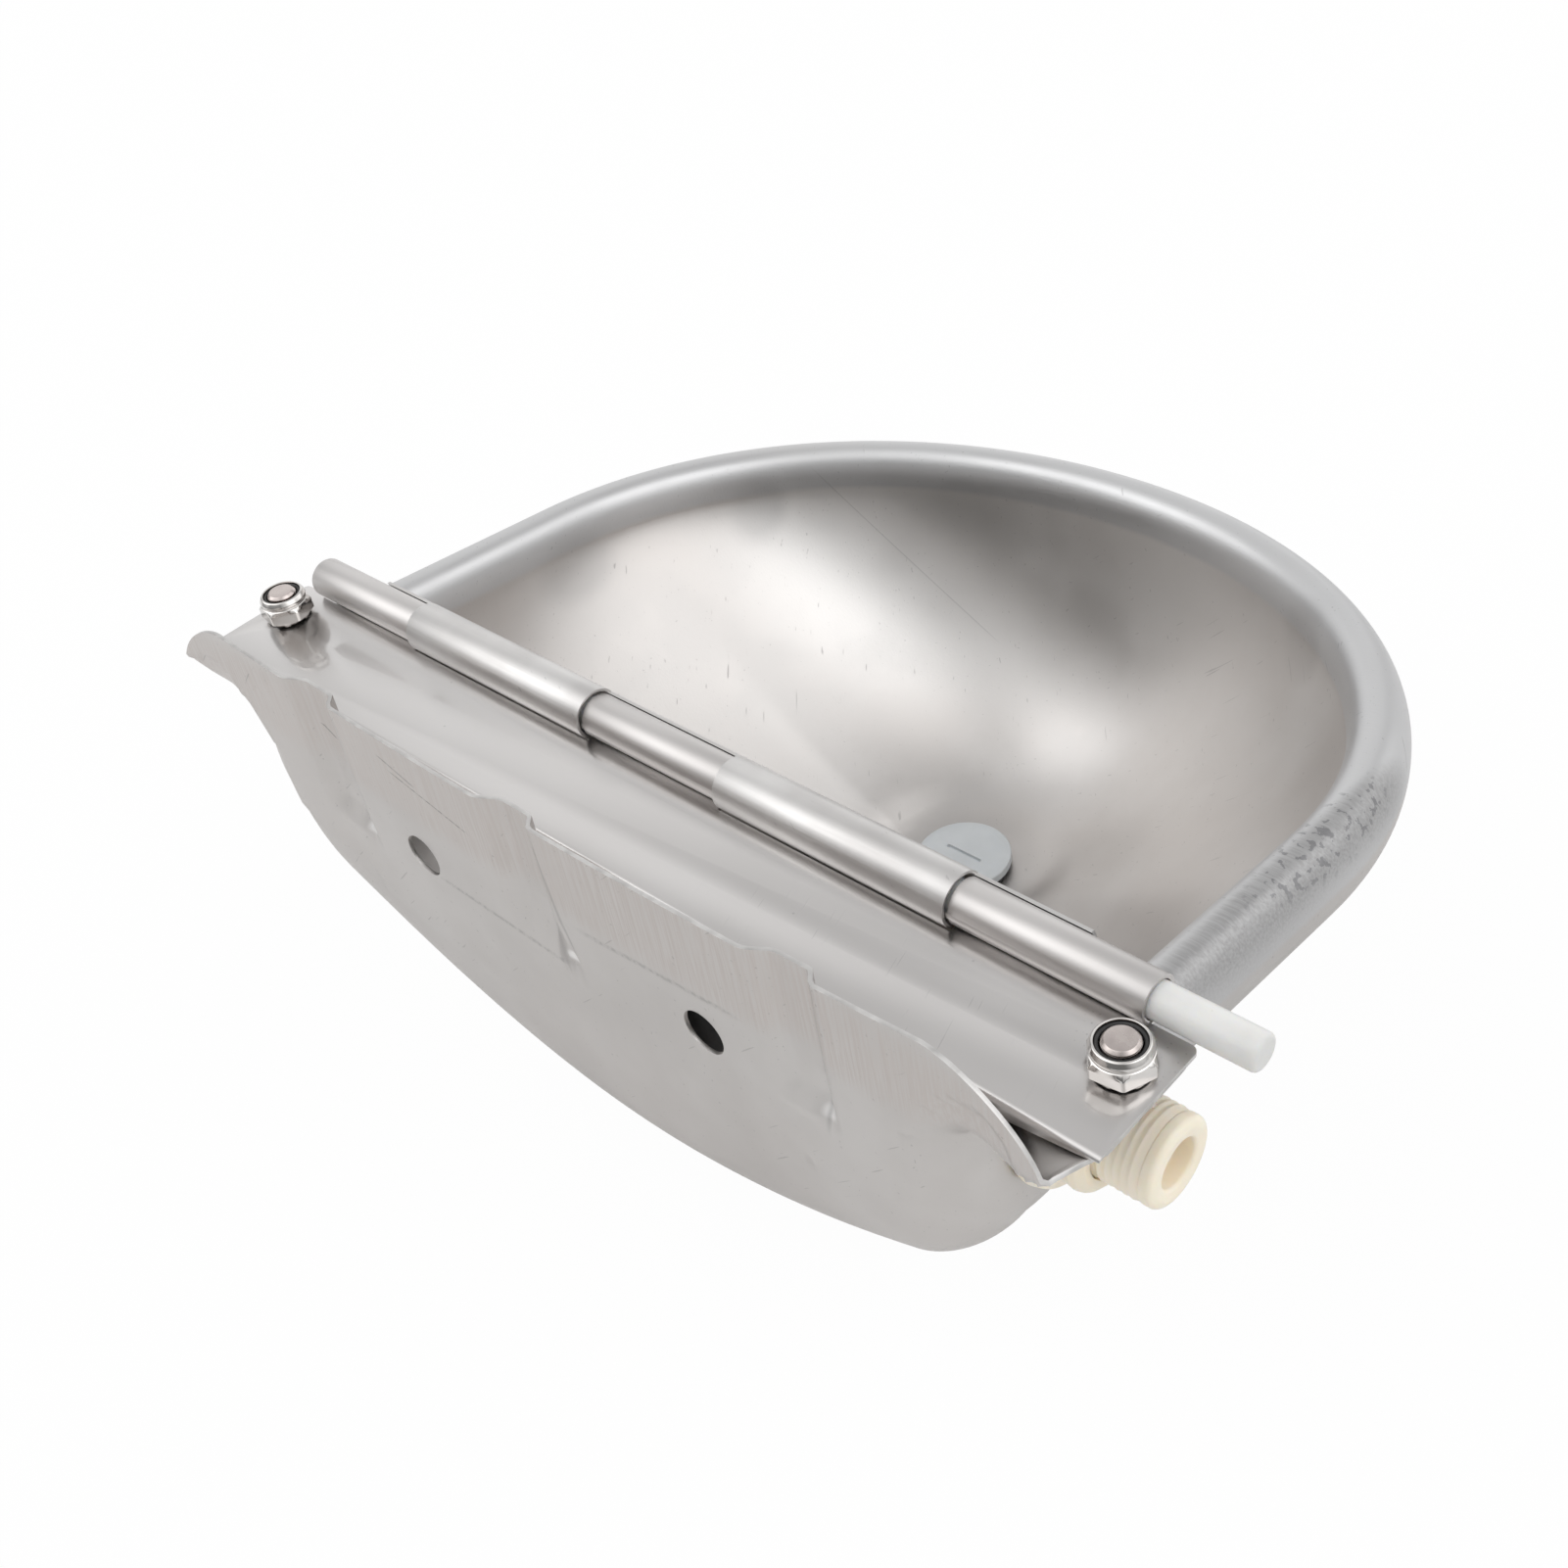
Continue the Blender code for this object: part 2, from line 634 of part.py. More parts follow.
def outline_plate(name, points, thickness, place, turn, look=None, into=None):
    # A flat outline as a filled curve, made into a welded mesh.
    curve = bpy.data.curves.new(name, "CURVE")
    curve.dimensions = "2D"
    curve.fill_mode = "BOTH"
    curve.extrude = thickness / 2
    line = curve.splines.new("POLY")
    line.points.add(len(points) - 1)
    for point, (a, b) in zip(line.points, points):
        point.co = (a, b, 0.0, 1.0)
    line.use_cyclic_u = True
    guide = bpy.data.objects.new(name + "_guide", curve)
    guide.location = place
    guide.rotation_euler = turn
    parts.objects.link(guide)
    bpy.context.view_layer.update()
    graph = bpy.context.evaluated_depsgraph_get()
    mesh = bpy.data.meshes.new_from_object(guide.evaluated_get(graph))
    shape = bmesh.new()
    shape.from_mesh(mesh)
    bmesh.ops.remove_doubles(shape, verts=shape.verts, dist=0.000001)
    shape.to_mesh(mesh)
    shape.free()
    mesh.name = name
    mesh.materials.clear()
    bpy.data.objects.remove(guide, do_unlink=True)
    return add(name, mesh, look, place, turn, into)


def lip_wedge(name, side):
    # Trims the lip to a slope that ends at the cover's rear corner.
    start_x = side * cover_lip_half
    end_x = side * (cover_half_width + 1.0 * mm)
    low = cover_top - cover_lip
    below = low - 3.0 * mm
    points = [(start_x, low), (end_x, cover_top - cover_sheet + gap), (end_x, below), (start_x, below)]
    place = (0.0, -cover_rear, 0.0)
    return outline_plate(name, points, 6.0 * mm, place, axis_y, into=cutters)


def baffle_scrap():
    # What is cut away around the baffle's rounded lower corners, as (x, level).
    left, right = baffle_ends
    middle_level = baffle_bottom + baffle_corner_radius
    outline = [(right + 2.0 * mm, middle_level)]
    outline += arc((right - baffle_corner_radius, middle_level), baffle_corner_radius, 0.0, -90.0, 7)
    outline += arc((left + baffle_corner_radius, middle_level), baffle_corner_radius, -90.0, -180.0, 7)
    outline += [(left - 2.0 * mm, middle_level)]
    outline += [(left - 2.0 * mm, baffle_bottom - 2.0 * mm), (right + 2.0 * mm, baffle_bottom - 2.0 * mm)]
    return outline


def make_baffle(hinge):
    # A sheet that hangs in front of the cover's curls, with two wide curls of its own round the rod.
    curl = arc((hinge_out, hinge_level), baffle_curl_radius, baffle_curl_end, 0.0, 17)
    profile = curl + [(hinge_out + baffle_curl_radius, baffle_bottom)]
    left, right = baffle_ends
    baffle = swept_sheet("baffle", profile, (right, left), baffle_steel, baffle_sheet, 1.0)
    front = -hinge_out - 0.7 * baffle_curl_radius
    rear = -hinge_out + 1.5 * baffle_curl_radius
    low = hinge_level - 1.5 * baffle_curl_radius
    edge = hinge_level + baffle_top
    high = hinge_level + 1.5 * baffle_curl_radius
    spans = [(left - 2.0 * mm, seams[0] + seam_gap), (seams[1] - seam_gap, seams[2] + seam_gap)]
    spans += [(seams[3] - seam_gap, right + 2.0 * mm)]
    for place, (first, last) in enumerate(spans):
        boolean(baffle, box(f"curl_gap_{place}", (first, front, low), (last, rear, high), into=cutters))
        low_corner = (first, -hinge_out - 1.5 * baffle_curl_radius, edge)
        boolean(baffle, box(f"curl_top_{place}", low_corner, (last, rear, high), into=cutters))
    place = (0.0, -hinge_out - baffle_curl_radius, 0.0)
    scrap = outline_plate("baffle_scrap", baffle_scrap(), 6.0 * mm, place, axis_y, into=cutters)
    boolean(baffle, scrap)
    apply_modifiers(baffle)
    return hang(smooth(baffle), hinge)


def hang(thing, empty):
    # Puts the object's origin on its joint's axis and parents it to the joint's empty.
    bpy.context.view_layer.update()
    thing.data.transform(Matrix.Translation(-empty.location) @ thing.matrix_world)
    thing.location = (0.0, 0.0, 0.0)
    thing.rotation_euler = (0.0, 0.0, 0.0)
    thing.parent = empty
    return thing


def joint(name, place):
    empty = bpy.data.objects.new(name, None)
    empty.location = place
    parts.objects.link(empty)
    return empty


def make_pin():
    # The rod lies along x, and its two ends are rounded over.
    low, high = pin_ends
    small = pin_radius - pin_chamfer
    profile = [(0.0, high), (small, high), (pin_radius - 0.3 * pin_chamfer, high - 0.4 * pin_chamfer)]
    profile += [(pin_radius, high - pin_chamfer), (pin_radius, low + pin_chamfer)]
    profile += [(pin_radius - 0.3 * pin_chamfer, low + 0.4 * pin_chamfer), (small, low), (0.0, low)]
    pin = turned("hinge_pin", profile, (0.0, -hinge_out, hinge_level), axis_x, pin_plastic, sides=32)
    return smooth(pin)


def bolt_places():
    return [(tag, (side * bolt_half_pitch, -bolt_out, 0.0)) for tag, side in hands]


def make_cover_bolts():
    # A hexagon head under the flange and a shank through flange and cover.
    head_top = flange_level - sheet - gap
    for tag, place in bolt_places():
        name = f"cover_bolt_{tag}"
        span = (head_top - bolt_head_height, head_top)
        bolt = hexagon(name, nut_across_flats, span, place, 0.0, bolt_steel)
        profile = [(0.0, bolt_tip), (bolt_radius - 0.8 * mm, bolt_tip), (bolt_radius, bolt_tip - 0.8 * mm)]
        inside_head = head_top - 0.5 * bolt_head_height
        profile += [(bolt_radius, inside_head), (0.0, inside_head)]
        shank = turned(f"shank_{tag}", profile, place, upright, into=cutters, sides=24)
        boolean(bolt, shank, "UNION")
        smooth(apply_modifiers(bolt))


def make_lock_nuts():
    # A hexagon with a round domed crown, bored for the bolt and wider for the insert ring.
    low = cover_top + gap
    top = low + nut_height
    half = nut_across_flats / 2
    corner = half + 1.6 * mm
    for tag, place in bolt_places():
        span = (low, low + nut_hex_height)
        nut = hexagon(f"lock_nut_{tag}", nut_across_flats, span, place, nut_turns[tag], nut_steel)
        cone = [(0.0, top), (half - 0.3 * mm, low + nut_hex_height - 0.2 * mm)]
        cone += [(corner, low + nut_hex_height - 1.6 * mm), (corner, low - 1.0 * mm), (0.0, low - 1.0 * mm)]
        boolean(nut, turned(f"nut_chamfer_{tag}", cone, place, upright, into=cutters), "INTERSECT")
        crown = [(0.0, top), (insert_radius + 2 * gap, top), (nut_crown_radius - 0.3 * mm, top - 0.7 * mm)]
        crown += [(nut_crown_radius, top - 1.6 * mm), (nut_crown_radius, low + 1.5 * mm)]
        crown += [(0.0, low + 1.5 * mm)]
        boolean(nut, turned(f"nut_crown_{tag}", crown, place, upright, into=cutters, sides=24), "UNION")
        bore = bolt_radius + gap
        mouth = insert_radius + gap
        seat = top - insert_thick - insert_depth
        profile = [(0.0, top + 1.0 * mm), (mouth, top + 1.0 * mm), (mouth, seat)]
        profile += [(bore, seat), (bore, low - 1.0 * mm), (0.0, low - 1.0 * mm)]
        boolean(nut, turned(f"nut_bore_{tag}", profile, place, upright, into=cutters, sides=24))
        smooth(apply_modifiers(nut))


def make_nut_inserts():
    seat = cover_top + gap + nut_height - insert_thick - insert_depth
    inner = bolt_radius + gap
    for tag, place in bolt_places():
        low = seat + gap
        high = seat + insert_thick
        profile = [(inner, high), (insert_radius, high), (insert_radius, low), (inner, low)]
        smooth(turned(f"nut_insert_{tag}", profile, place, upright, insert_nylon, sides=24))


def make_drain_plug():
    # A slotted round head above the floor and a stem down through the floor and its nut.
    low = floor_level + gap + seal_thick + gap
    top = low + plug_head
    end = floor_level - sheet - gap - drain_nut_height - 2.0 * mm
    edge = 0.8 * mm
    profile = [(0.0, top), (plug_radius - edge, top), (plug_radius - 0.3 * edge, top - 0.3 * edge)]
    profile += [(plug_radius, top - edge), (plug_radius, low), (plug_stem_radius, low)]
    profile += [(plug_stem_radius, end + edge), (plug_stem_radius - edge, end), (0.0, end)]
    place = (0.0, -plug_out, 0.0)
    plug = turned("drain_plug", profile, place, upright, plug_plastic, sides=32)
    length, width, depth = plug_slot
    low_corner = (-length / 2, -plug_out - width / 2, top - depth)
    high_corner = (length / 2, -plug_out + width / 2, top + 1.0 * mm)
    boolean(plug, box("plug_slot", low_corner, high_corner, into=cutters))
    return smooth(apply_modifiers(plug))


def make_drain_seal():
    low = floor_level + gap
    inner = plug_stem_radius + gap
    profile = [(inner, low + seal_thick), (seal_radius, low + seal_thick), (seal_radius, low), (inner, low)]
    seal = turned("drain_seal", profile, (0.0, -plug_out, 0.0), upright, black_rubber, sides=32)
    return smooth(seal)


def make_drain_nut():
    high = floor_level - sheet - gap
    low = high - drain_nut_height
    place = (0.0, -plug_out, 0.0)
    nut = hexagon("drain_nut", drain_nut_across_flats, (low, high), place, 0.0, plug_plastic)
    span = (low - 1.0 * mm, high + 1.0 * mm)
    bore = rod("drain_nut_bore", plug_stem_radius + gap, span, place, upright, into=cutters)
    boolean(nut, bore)
    return smooth(apply_modifiers(nut))


def inlet_place():
    return (0.0, -inlet_out, inlet_level)


def make_inlet_nut():
    # The round collar nut outside the wall: a wide flange, a waist and a smaller collar.
    high = -(bowl_half_width + sheet + gap)
    low = high - nut_length
    bore = thread_radius + gap
    foot = high - nut_flange_thick
    profile = [(bore, high), (nut_flange_radius - 0.6 * mm, high), (nut_flange_radius, high - 0.8 * mm)]
    profile += [(nut_flange_radius, high - 2.6 * mm), (nut_flange_radius - 0.9 * mm, foot + 1.0 * mm)]
    profile += [(nut_waist_radius + 1.4 * mm, foot - 0.4 * mm), (nut_waist_radius, foot - 2.2 * mm)]
    profile += [(nut_waist_radius + 0.2 * mm, foot - 4.2 * mm), (nut_collar_radius, foot - 5.6 * mm)]
    profile += [(nut_collar_radius - 0.4 * mm, low + 1.4 * mm)]
    profile += [(nut_collar_radius - 1.6 * mm, low + 0.3 * mm), (nut_collar_radius - 2.2 * mm, low)]
    profile += [(bore, low)]
    return smooth(turned("inlet_nut", profile, inlet_place(), axis_x, cream_plastic, sides=32), 45.0)


def gasket_span():
    high = -(bowl_half_width - gap - gasket_thick)
    return high - gasket_thick, high


def make_inlet_gasket():
    low, high = gasket_span()
    inner = thread_radius + gap
    profile = [(inner, high), (gasket_radius, high), (gasket_radius, low), (inner, low)]
    return smooth(turned("inlet_gasket", profile, inlet_place(), axis_x, black_rubber, sides=32))


def thread_ridges(high, low):
    # Ridges of a pipe thread from one height down to another.
    count = int((high - low) / thread_pitch)
    root = thread_radius - thread_depth
    profile = []
    for turn in range(count):
        top = high - turn * thread_pitch
        profile += [(root, top - 0.1 * thread_pitch), (thread_radius, top - 0.55 * thread_pitch)]
    last = high - count * thread_pitch
    return profile + [(root, last)]


def plunger_span():
    # The plunger's outer end stands clear of the lever's nose.
    high = pivot_x - nose_reach - nose_radius - gap
    return high - plunger_length, high


def seat_span():
    seal_front = plunger_span()[0] - gap - plunger_seal_thick
    high = seal_front - gap - valve_travel
    return high - seat_length, high


def make_valve_body():
    # The fitting through the wall: thread outside, collar and plunger guide inside, two cheeks for the lever.
    collar_low = gasket_span()[1] + gap
    collar_high = collar_low + body_collar_thick
    neck_end = -(bowl_half_width + sheet + gap + nut_length)
    profile = [(0.0, body_inner_end), (body_radius, body_inner_end), (body_radius, collar_high)]
    profile += [(body_collar_radius, collar_high), (body_collar_radius, collar_low)]
    profile += [(thread_radius, collar_low), (thread_radius, neck_end)]
    chamfer = 1.2 * mm
    profile += thread_ridges(neck_end, inlet_end + chamfer)
    root = thread_radius - thread_depth
    profile += [(root, inlet_end + 0.3 * chamfer), (root - 0.3 * chamfer, inlet_end), (0.0, inlet_end)]
    body = turned("valve_body", profile, inlet_place(), axis_x, cream_plastic, sides=28)
    inner = arm_width / 2 + 2 * gap
    low_corner_x = body_inner_end - cheek_overlap
    high_corner_x = pivot_x + cheek_beyond
    for side, tag in ((-1, "outer"), (1, "wall")):
        faces = sorted((-inlet_out + side * inner, -inlet_out + side * (inner + cheek_thick)))
        low_corner = (low_corner_x, faces[0], pivot_level - cheek_beyond)
        high_corner = (high_corner_x, faces[1], inlet_level + cheek_above)
        boolean(body, box(f"cheek_{tag}", low_corner, high_corner, into=cutters), "UNION")
    pocket = seat_span()[0] - gap
    guide = plunger_radius + gap
    hollow = [(0.0, body_inner_end + 1.0 * mm), (guide, body_inner_end + 1.0 * mm), (guide, pocket)]
    hollow += [(inlet_bore, pocket), (inlet_bore, inlet_end - 1.0 * mm), (0.0, inlet_end - 1.0 * mm)]
    boolean(body, turned("body_bore", hollow, inlet_place(), axis_x, into=cutters, sides=32))
    reach = inner + cheek_thick + 1.0 * mm
    place = (pivot_x, -inlet_out, pivot_level)
    bore = rod("pivot_bore", pivot_radius + gap, (-reach, reach), place, axis_y, into=cutters, sides=20)
    boolean(body, bore)
    return smooth(apply_modifiers(body), 40.0)


def make_valve_seat():
    low, high = seat_span()
    outer = plunger_radius
    nose = high - 1.4 * mm
    profile = [(seat_hole_radius, high), (seat_nose_radius - 0.8 * mm, high), (seat_nose_radius, nose)]
    profile += [(outer, nose), (outer, low), (seat_hole_radius, low)]
    return smooth(turned("valve_seat", profile, inlet_place(), axis_x, brass, sides=24))


def make_plunger():
    low, high = plunger_span()
    profile = [(0.0, high), (plunger_radius - 0.8 * mm, high), (plunger_radius, high - 0.8 * mm)]
    profile += [(plunger_radius, low + 0.4 * mm), (plunger_radius - 0.4 * mm, low), (0.0, low)]
    plunger = turned("plunger", profile, inlet_place(), axis_x, float_plastic, sides=28)
    return smooth(plunger)


def make_plunger_seal():
    high = plunger_span()[0] - gap
    low = high - plunger_seal_thick
    profile = [(0.0, high), (plunger_seal_radius, high), (plunger_seal_radius, low), (0.0, low)]
    return smooth(turned("plunger_seal", profile, inlet_place(), axis_x, black_rubber, sides=24))


def make_pivot_pin():
    reach = arm_width / 2 + 2 * gap + cheek_thick + 1.0 * mm
    place = (pivot_x, -inlet_out, pivot_level)
    pin = rod("arm_pivot_pin", pivot_radius, (-reach, reach), place, axis_y, bolt_steel, sides=20)
    return smooth(bevel(pin, 0.3 * mm, 1))


def lever_frame():
    # The lever's end, where the float's top begins, with the float's own two directions, in x and z.
    droop = math.radians(arm_droop)
    tilt = math.radians(arm_swing)
    along = np.array([math.cos(droop), -math.sin(droop)])
    across = np.array([math.sin(droop), math.cos(droop)])
    end = arm_length * along - arm_height / 2 * across
    float_along = np.array([math.cos(tilt), -math.sin(tilt)])
    float_across = np.array([math.sin(tilt), math.cos(tilt)])
    return along, across, end, float_along, float_across


def make_float_arm(pivot):
    # Drawn from the pivot: a nose that pushes the plunger, the lever, and a flat pad on the float's top.
    along, across, end, flat, up = lever_frame()
    droop_angle = -arm_droop
    outline = arc((-nose_reach, nose_rise), nose_radius, 30.0, 200.0, 8)
    outline += arc((0.0, 0.0), arm_boss_radius, 180.0, 255.0 + droop_angle / 2, 5)
    start_low = arm_boss_radius * along - arm_height / 2 * across
    pad_length, pad_thick = arm_pad
    upper_end = arm_length * along + arm_height / 2 * across
    upper_start = 1.2 * nose_rise * along + arm_height / 2 * across
    points = [start_low, end, end + pad_length * flat, end + pad_length * flat + pad_thick * up]
    points += [end + 0.2 * pad_length * flat + pad_thick * up, upper_end, upper_start]
    outline += [tuple(point) for point in points]
    place = (pivot_x, -inlet_out, pivot_level)
    arm = outline_plate("float_arm", outline, arm_width, place, axis_y, float_plastic)
    span = (-arm_width, arm_width)
    boolean(arm, rod("arm_bore", pivot_radius + gap, span, place, axis_y, into=cutters, sides=20))
    boolean(arm, screw_cutter("arm_screw_bore", -2.0 * mm, pad_thick + 2.0 * mm))
    apply_modifiers(arm)
    return hang(smooth(arm), pivot)


def on_float(along, up):
    # A world point from distances along and above the top of the float.
    flat, above = lever_frame()[3:]
    point = lever_frame()[2] + along * flat + up * above
    return (pivot_x + point[0], -inlet_out, pivot_level + point[1])


def screw_cutter(name, low, high):
    place = on_float(float_screw_place, 0.0)
    turn = (0.0, math.radians(arm_swing), 0.0)
    return rod(name, float_screw_radius + gap, (low, high), place, turn, into=cutters, sides=20)


def make_float(pivot):
    length, width, height = float_size
    mesh = bpy.data.meshes.new("float")
    shape = bmesh.new()
    bmesh.ops.create_cube(shape, size=1.0)
    bmesh.ops.scale(shape, vec=float_size, verts=shape.verts)
    shape.to_mesh(mesh)
    shape.free()
    place = on_float(length / 2 - float_setback, -gap - height / 2)
    body = add("float", mesh, float_plastic, place, (0.0, math.radians(arm_swing), 0.0))
    bevel(body, float_round, 3)
    boolean(body, screw_cutter("float_screw_bore", -float_screw_depth - gap, 2.0 * mm))
    apply_modifiers(body)
    return hang(smooth(body, 40.0), pivot)


def make_float_screw(pivot):
    radius, height = float_screw_head
    low = arm_pad[1] + gap
    profile = [(0.0, low + height), (0.7 * radius, low + height), (radius, low + 0.5 * height), (radius, low)]
    tip = gap - float_screw_depth
    profile += [(float_screw_radius, low), (float_screw_radius, tip), (0.0, tip)]
    place = on_float(float_screw_place, 0.0)
    screw = turned("float_screw", profile, place, (0.0, math.radians(arm_swing), 0.0), bolt_steel, sides=20)
    apply_modifiers(screw)
    return hang(smooth(screw), pivot)


def make_bowl_fittings():
    make_cover_bolts()
    make_lock_nuts()
    make_nut_inserts()
    make_drain_plug()
    make_drain_seal()
    make_drain_nut()


def make_valve():
    make_inlet_nut()
    make_inlet_gasket()
    make_valve_body()
    make_valve_seat()
    make_plunger()
    make_plunger_seal()
    make_pivot_pin()
    pivot = joint("float_pivot", (pivot_x, -inlet_out, pivot_level))
    make_float_arm(pivot)
    make_float(pivot)
    make_float_screw(pivot)


make_bowl()
make_cover()
make_pin()
hinge = joint("baffle_hinge", (0.0, -hinge_out, hinge_level))
make_baffle(hinge)
make_bowl_fittings()
make_valve()
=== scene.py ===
import math

import bmesh
import bpy
import numpy as np
from mathutils import Matrix, Vector


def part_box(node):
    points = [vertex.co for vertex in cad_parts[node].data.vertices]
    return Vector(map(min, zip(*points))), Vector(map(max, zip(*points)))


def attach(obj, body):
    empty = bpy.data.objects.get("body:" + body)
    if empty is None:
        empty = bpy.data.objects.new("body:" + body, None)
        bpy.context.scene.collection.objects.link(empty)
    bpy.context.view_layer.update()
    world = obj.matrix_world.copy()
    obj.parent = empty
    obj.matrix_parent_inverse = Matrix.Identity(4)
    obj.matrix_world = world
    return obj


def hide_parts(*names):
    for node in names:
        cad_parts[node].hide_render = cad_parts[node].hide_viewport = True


# The bowl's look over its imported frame. x runs across the bowl with the inlet at -x, the bowl
# reaches out along -y from the wall, z is up. The pieces' sizes are in millimetres, and the
# camera's, floor's and finishes' places in metres. "Out" is the distance from the wall, along -y.

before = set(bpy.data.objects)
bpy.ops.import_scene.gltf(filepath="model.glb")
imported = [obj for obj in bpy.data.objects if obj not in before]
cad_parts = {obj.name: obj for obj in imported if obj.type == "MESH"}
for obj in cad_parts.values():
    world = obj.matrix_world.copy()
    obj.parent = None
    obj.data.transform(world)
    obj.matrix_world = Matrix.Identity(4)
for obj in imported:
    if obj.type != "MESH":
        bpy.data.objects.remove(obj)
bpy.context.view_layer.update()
print("frame is in")


camera = {
    "place": (-0.2763, 0.1514, 0.3126),
    "right": (-0.7219, -0.6763, -0.1467),
    "up": (0.3596, -0.5476, 0.7555),
    "back": (-0.5913, 0.4927, 0.6385),
    "lens": 41.52,
    "sensor": 36.0,
}

studio = {
    "floorLevel": -0.0746,
    "evenLight": 0.25,
    # how near its middle a soft box is at its full level, in degrees
    "boxMiddle": 3.0,
    # each soft box: azimuth, elevation and half angle in degrees, then its level
    "softBoxes": {
        "inletHigh": (180, 54, 27, 0.55),
        "inletWide": (180, 36, 48, 0.90),
        "inletCornerHigh": (225, 54, 27, 0.50),
        "inletCornerLow": (225, 10, 48, 0.37),
        "overInlet": (188, 38, 30, 0.82),
        "behindWall": (49, 31, 25, 0.95),
        "behindWallWide": (45, 36, 48, 0.22),
        "wallHigh": (90, 62, 48, 0.58),
        "wallTop": (90, 54, 27, 0.70),
        "cornerHigh": (45, 54, 27, 0.55),
        "rightLow": (30, 28, 27, 1.05),
        "rightHigh": (0, 62, 48, 0.60),
        "rightSide": (0, 10, 48, 0.13),
        "frontRight": (315, 10, 48, 0.98),
        "frontWide": (270, 10, 48, 0.40),
        "frontHigh": (270, 54, 27, 0.35),
        "frontInlet": (240, 28, 27, 1.00),
    },
}


def placeCamera():
    data = bpy.data.cameras.new("photoCamera")
    data.lens = camera["lens"]
    data.sensor_width = camera["sensor"]
    data.clip_start = 0.01
    seen = bpy.data.objects.new("photoCamera", data)
    bpy.context.scene.collection.objects.link(seen)
    turn = Matrix((camera["right"], camera["up"], camera["back"])).transposed()
    seen.matrix_world = Matrix.Translation(camera["place"]) @ turn.to_4x4()
    bpy.context.scene.camera = seen


def addNode(tree, kind, **settings):
    made = tree.nodes.new(kind)
    for key, value in settings.items():
        setattr(made, key, value)
    return made


def feed(tree, socket, value):
    # A value may be another node's output, or a plain number, vector or colour.
    if isinstance(value, bpy.types.NodeSocket):
        tree.links.new(value, socket)
    elif value is not None:
        socket.default_value = value


def sums(tree, operation, first, second=None, clamp=False):
    made = addNode(tree, "ShaderNodeMath", operation=operation, use_clamp=clamp)
    feed(tree, made.inputs[0], first)
    feed(tree, made.inputs[1], second)
    return made.outputs[0]


def plus(tree, first, second, clamp=False):
    return sums(tree, "ADD", first, second, clamp)


def times(tree, *values):
    # The product of all the values.
    made = values[0]
    for value in values[1:]:
        made = sums(tree, "MULTIPLY", made, value)
    return made


def vectorSums(tree, operation, first, second=None):
    made = addNode(tree, "ShaderNodeVectorMath", operation=operation)
    feed(tree, made.inputs[0], first)
    feed(tree, made.inputs[1], second)
    return made.outputs["Value" if operation in ("LENGTH", "DOT_PRODUCT") else "Vector"]


def spread(tree, value, low, high, toLow=0.0, toHigh=1.0, soft=True):
    made = addNode(tree, "ShaderNodeMapRange", interpolation_type="SMOOTHSTEP" if soft else "LINEAR")
    for socket, given in zip(made.inputs[:5], (value, low, high, toLow, toHigh)):
        feed(tree, socket, given)
    return made.outputs[0]


def mixColour(tree, share, first, second):
    made = addNode(tree, "ShaderNodeMix", data_type="RGBA")
    feed(tree, made.inputs[0], share)
    feed(tree, made.inputs[6], first)
    feed(tree, made.inputs[7], second)
    return made.outputs[2]


def layered(tree, colour, layers):
    # Each layer is a colour and the masks whose product says how much of it lies over the ones before.
    for over, masks in layers:
        colour = mixColour(tree, times(tree, *masks), colour, over)
    return colour


def noiseIn(tree, where, scale, detail, roughness=0.5):
    made = addNode(tree, "ShaderNodeTexNoise")
    for label, value in (("Vector", where), ("Scale", scale), ("Detail", detail), ("Roughness", roughness)):
        feed(tree, made.inputs[label], value)
    return made.outputs["Fac"]


def partOf(tree, where, label):
    parted = addNode(tree, "ShaderNodeSeparateXYZ")
    tree.links.new(where, parted.inputs[0])
    return parted.outputs[label]


def newGroup(name, output, **inputs):
    # A shared effect is read at a Vector and gives one value. A number makes a plain input and a
    # triple a vector.
    tree = bpy.data.node_groups.new(name, "ShaderNodeTree")
    for label, value in {"Vector": (0.0, 0.0, 0.0), **inputs}.items():
        kind = "NodeSocketVector" if isinstance(value, tuple) else "NodeSocketFloat"
        tree.interface.new_socket(name=label, in_out="INPUT", socket_type=kind).default_value = value
    tree.interface.new_socket(name=output, in_out="OUTPUT", socket_type="NodeSocketFloat")
    given = addNode(tree, "NodeGroupInput").outputs
    return tree, given, addNode(tree, "NodeGroupOutput").inputs[output]


def useGroup(tree, where, group, values):
    made = addNode(tree, "ShaderNodeGroup", node_tree=group)
    feed(tree, made.inputs["Vector"], where)
    for label, value in values.items():
        feed(tree, made.inputs[label], value)
    return made.outputs[0]


def makeGrain():
    # Long fine brush lines: noise read in coordinates stretched along the brushing.
    tree, given, out = newGroup("brushGrain", "Lines", Stretch=(60.0, 2500.0, 2500.0))
    noise = noiseIn(tree, vectorSums(tree, "MULTIPLY", given["Vector"], given["Stretch"]), 1.0, 3.0, 0.62)
    feed(tree, out, spread(tree, noise, 0.28, 0.72, soft=False))
    return tree


def makeCloud():
    # Broad soft patches between 0 and 1.
    tree, given, out = newGroup("softCloud", "Patches", Scale=25.0, Detail=3.0)
    feed(tree, out, spread(tree, noiseIn(tree, given["Vector"], given["Scale"], given["Detail"]), 0.3, 0.7))
    return tree


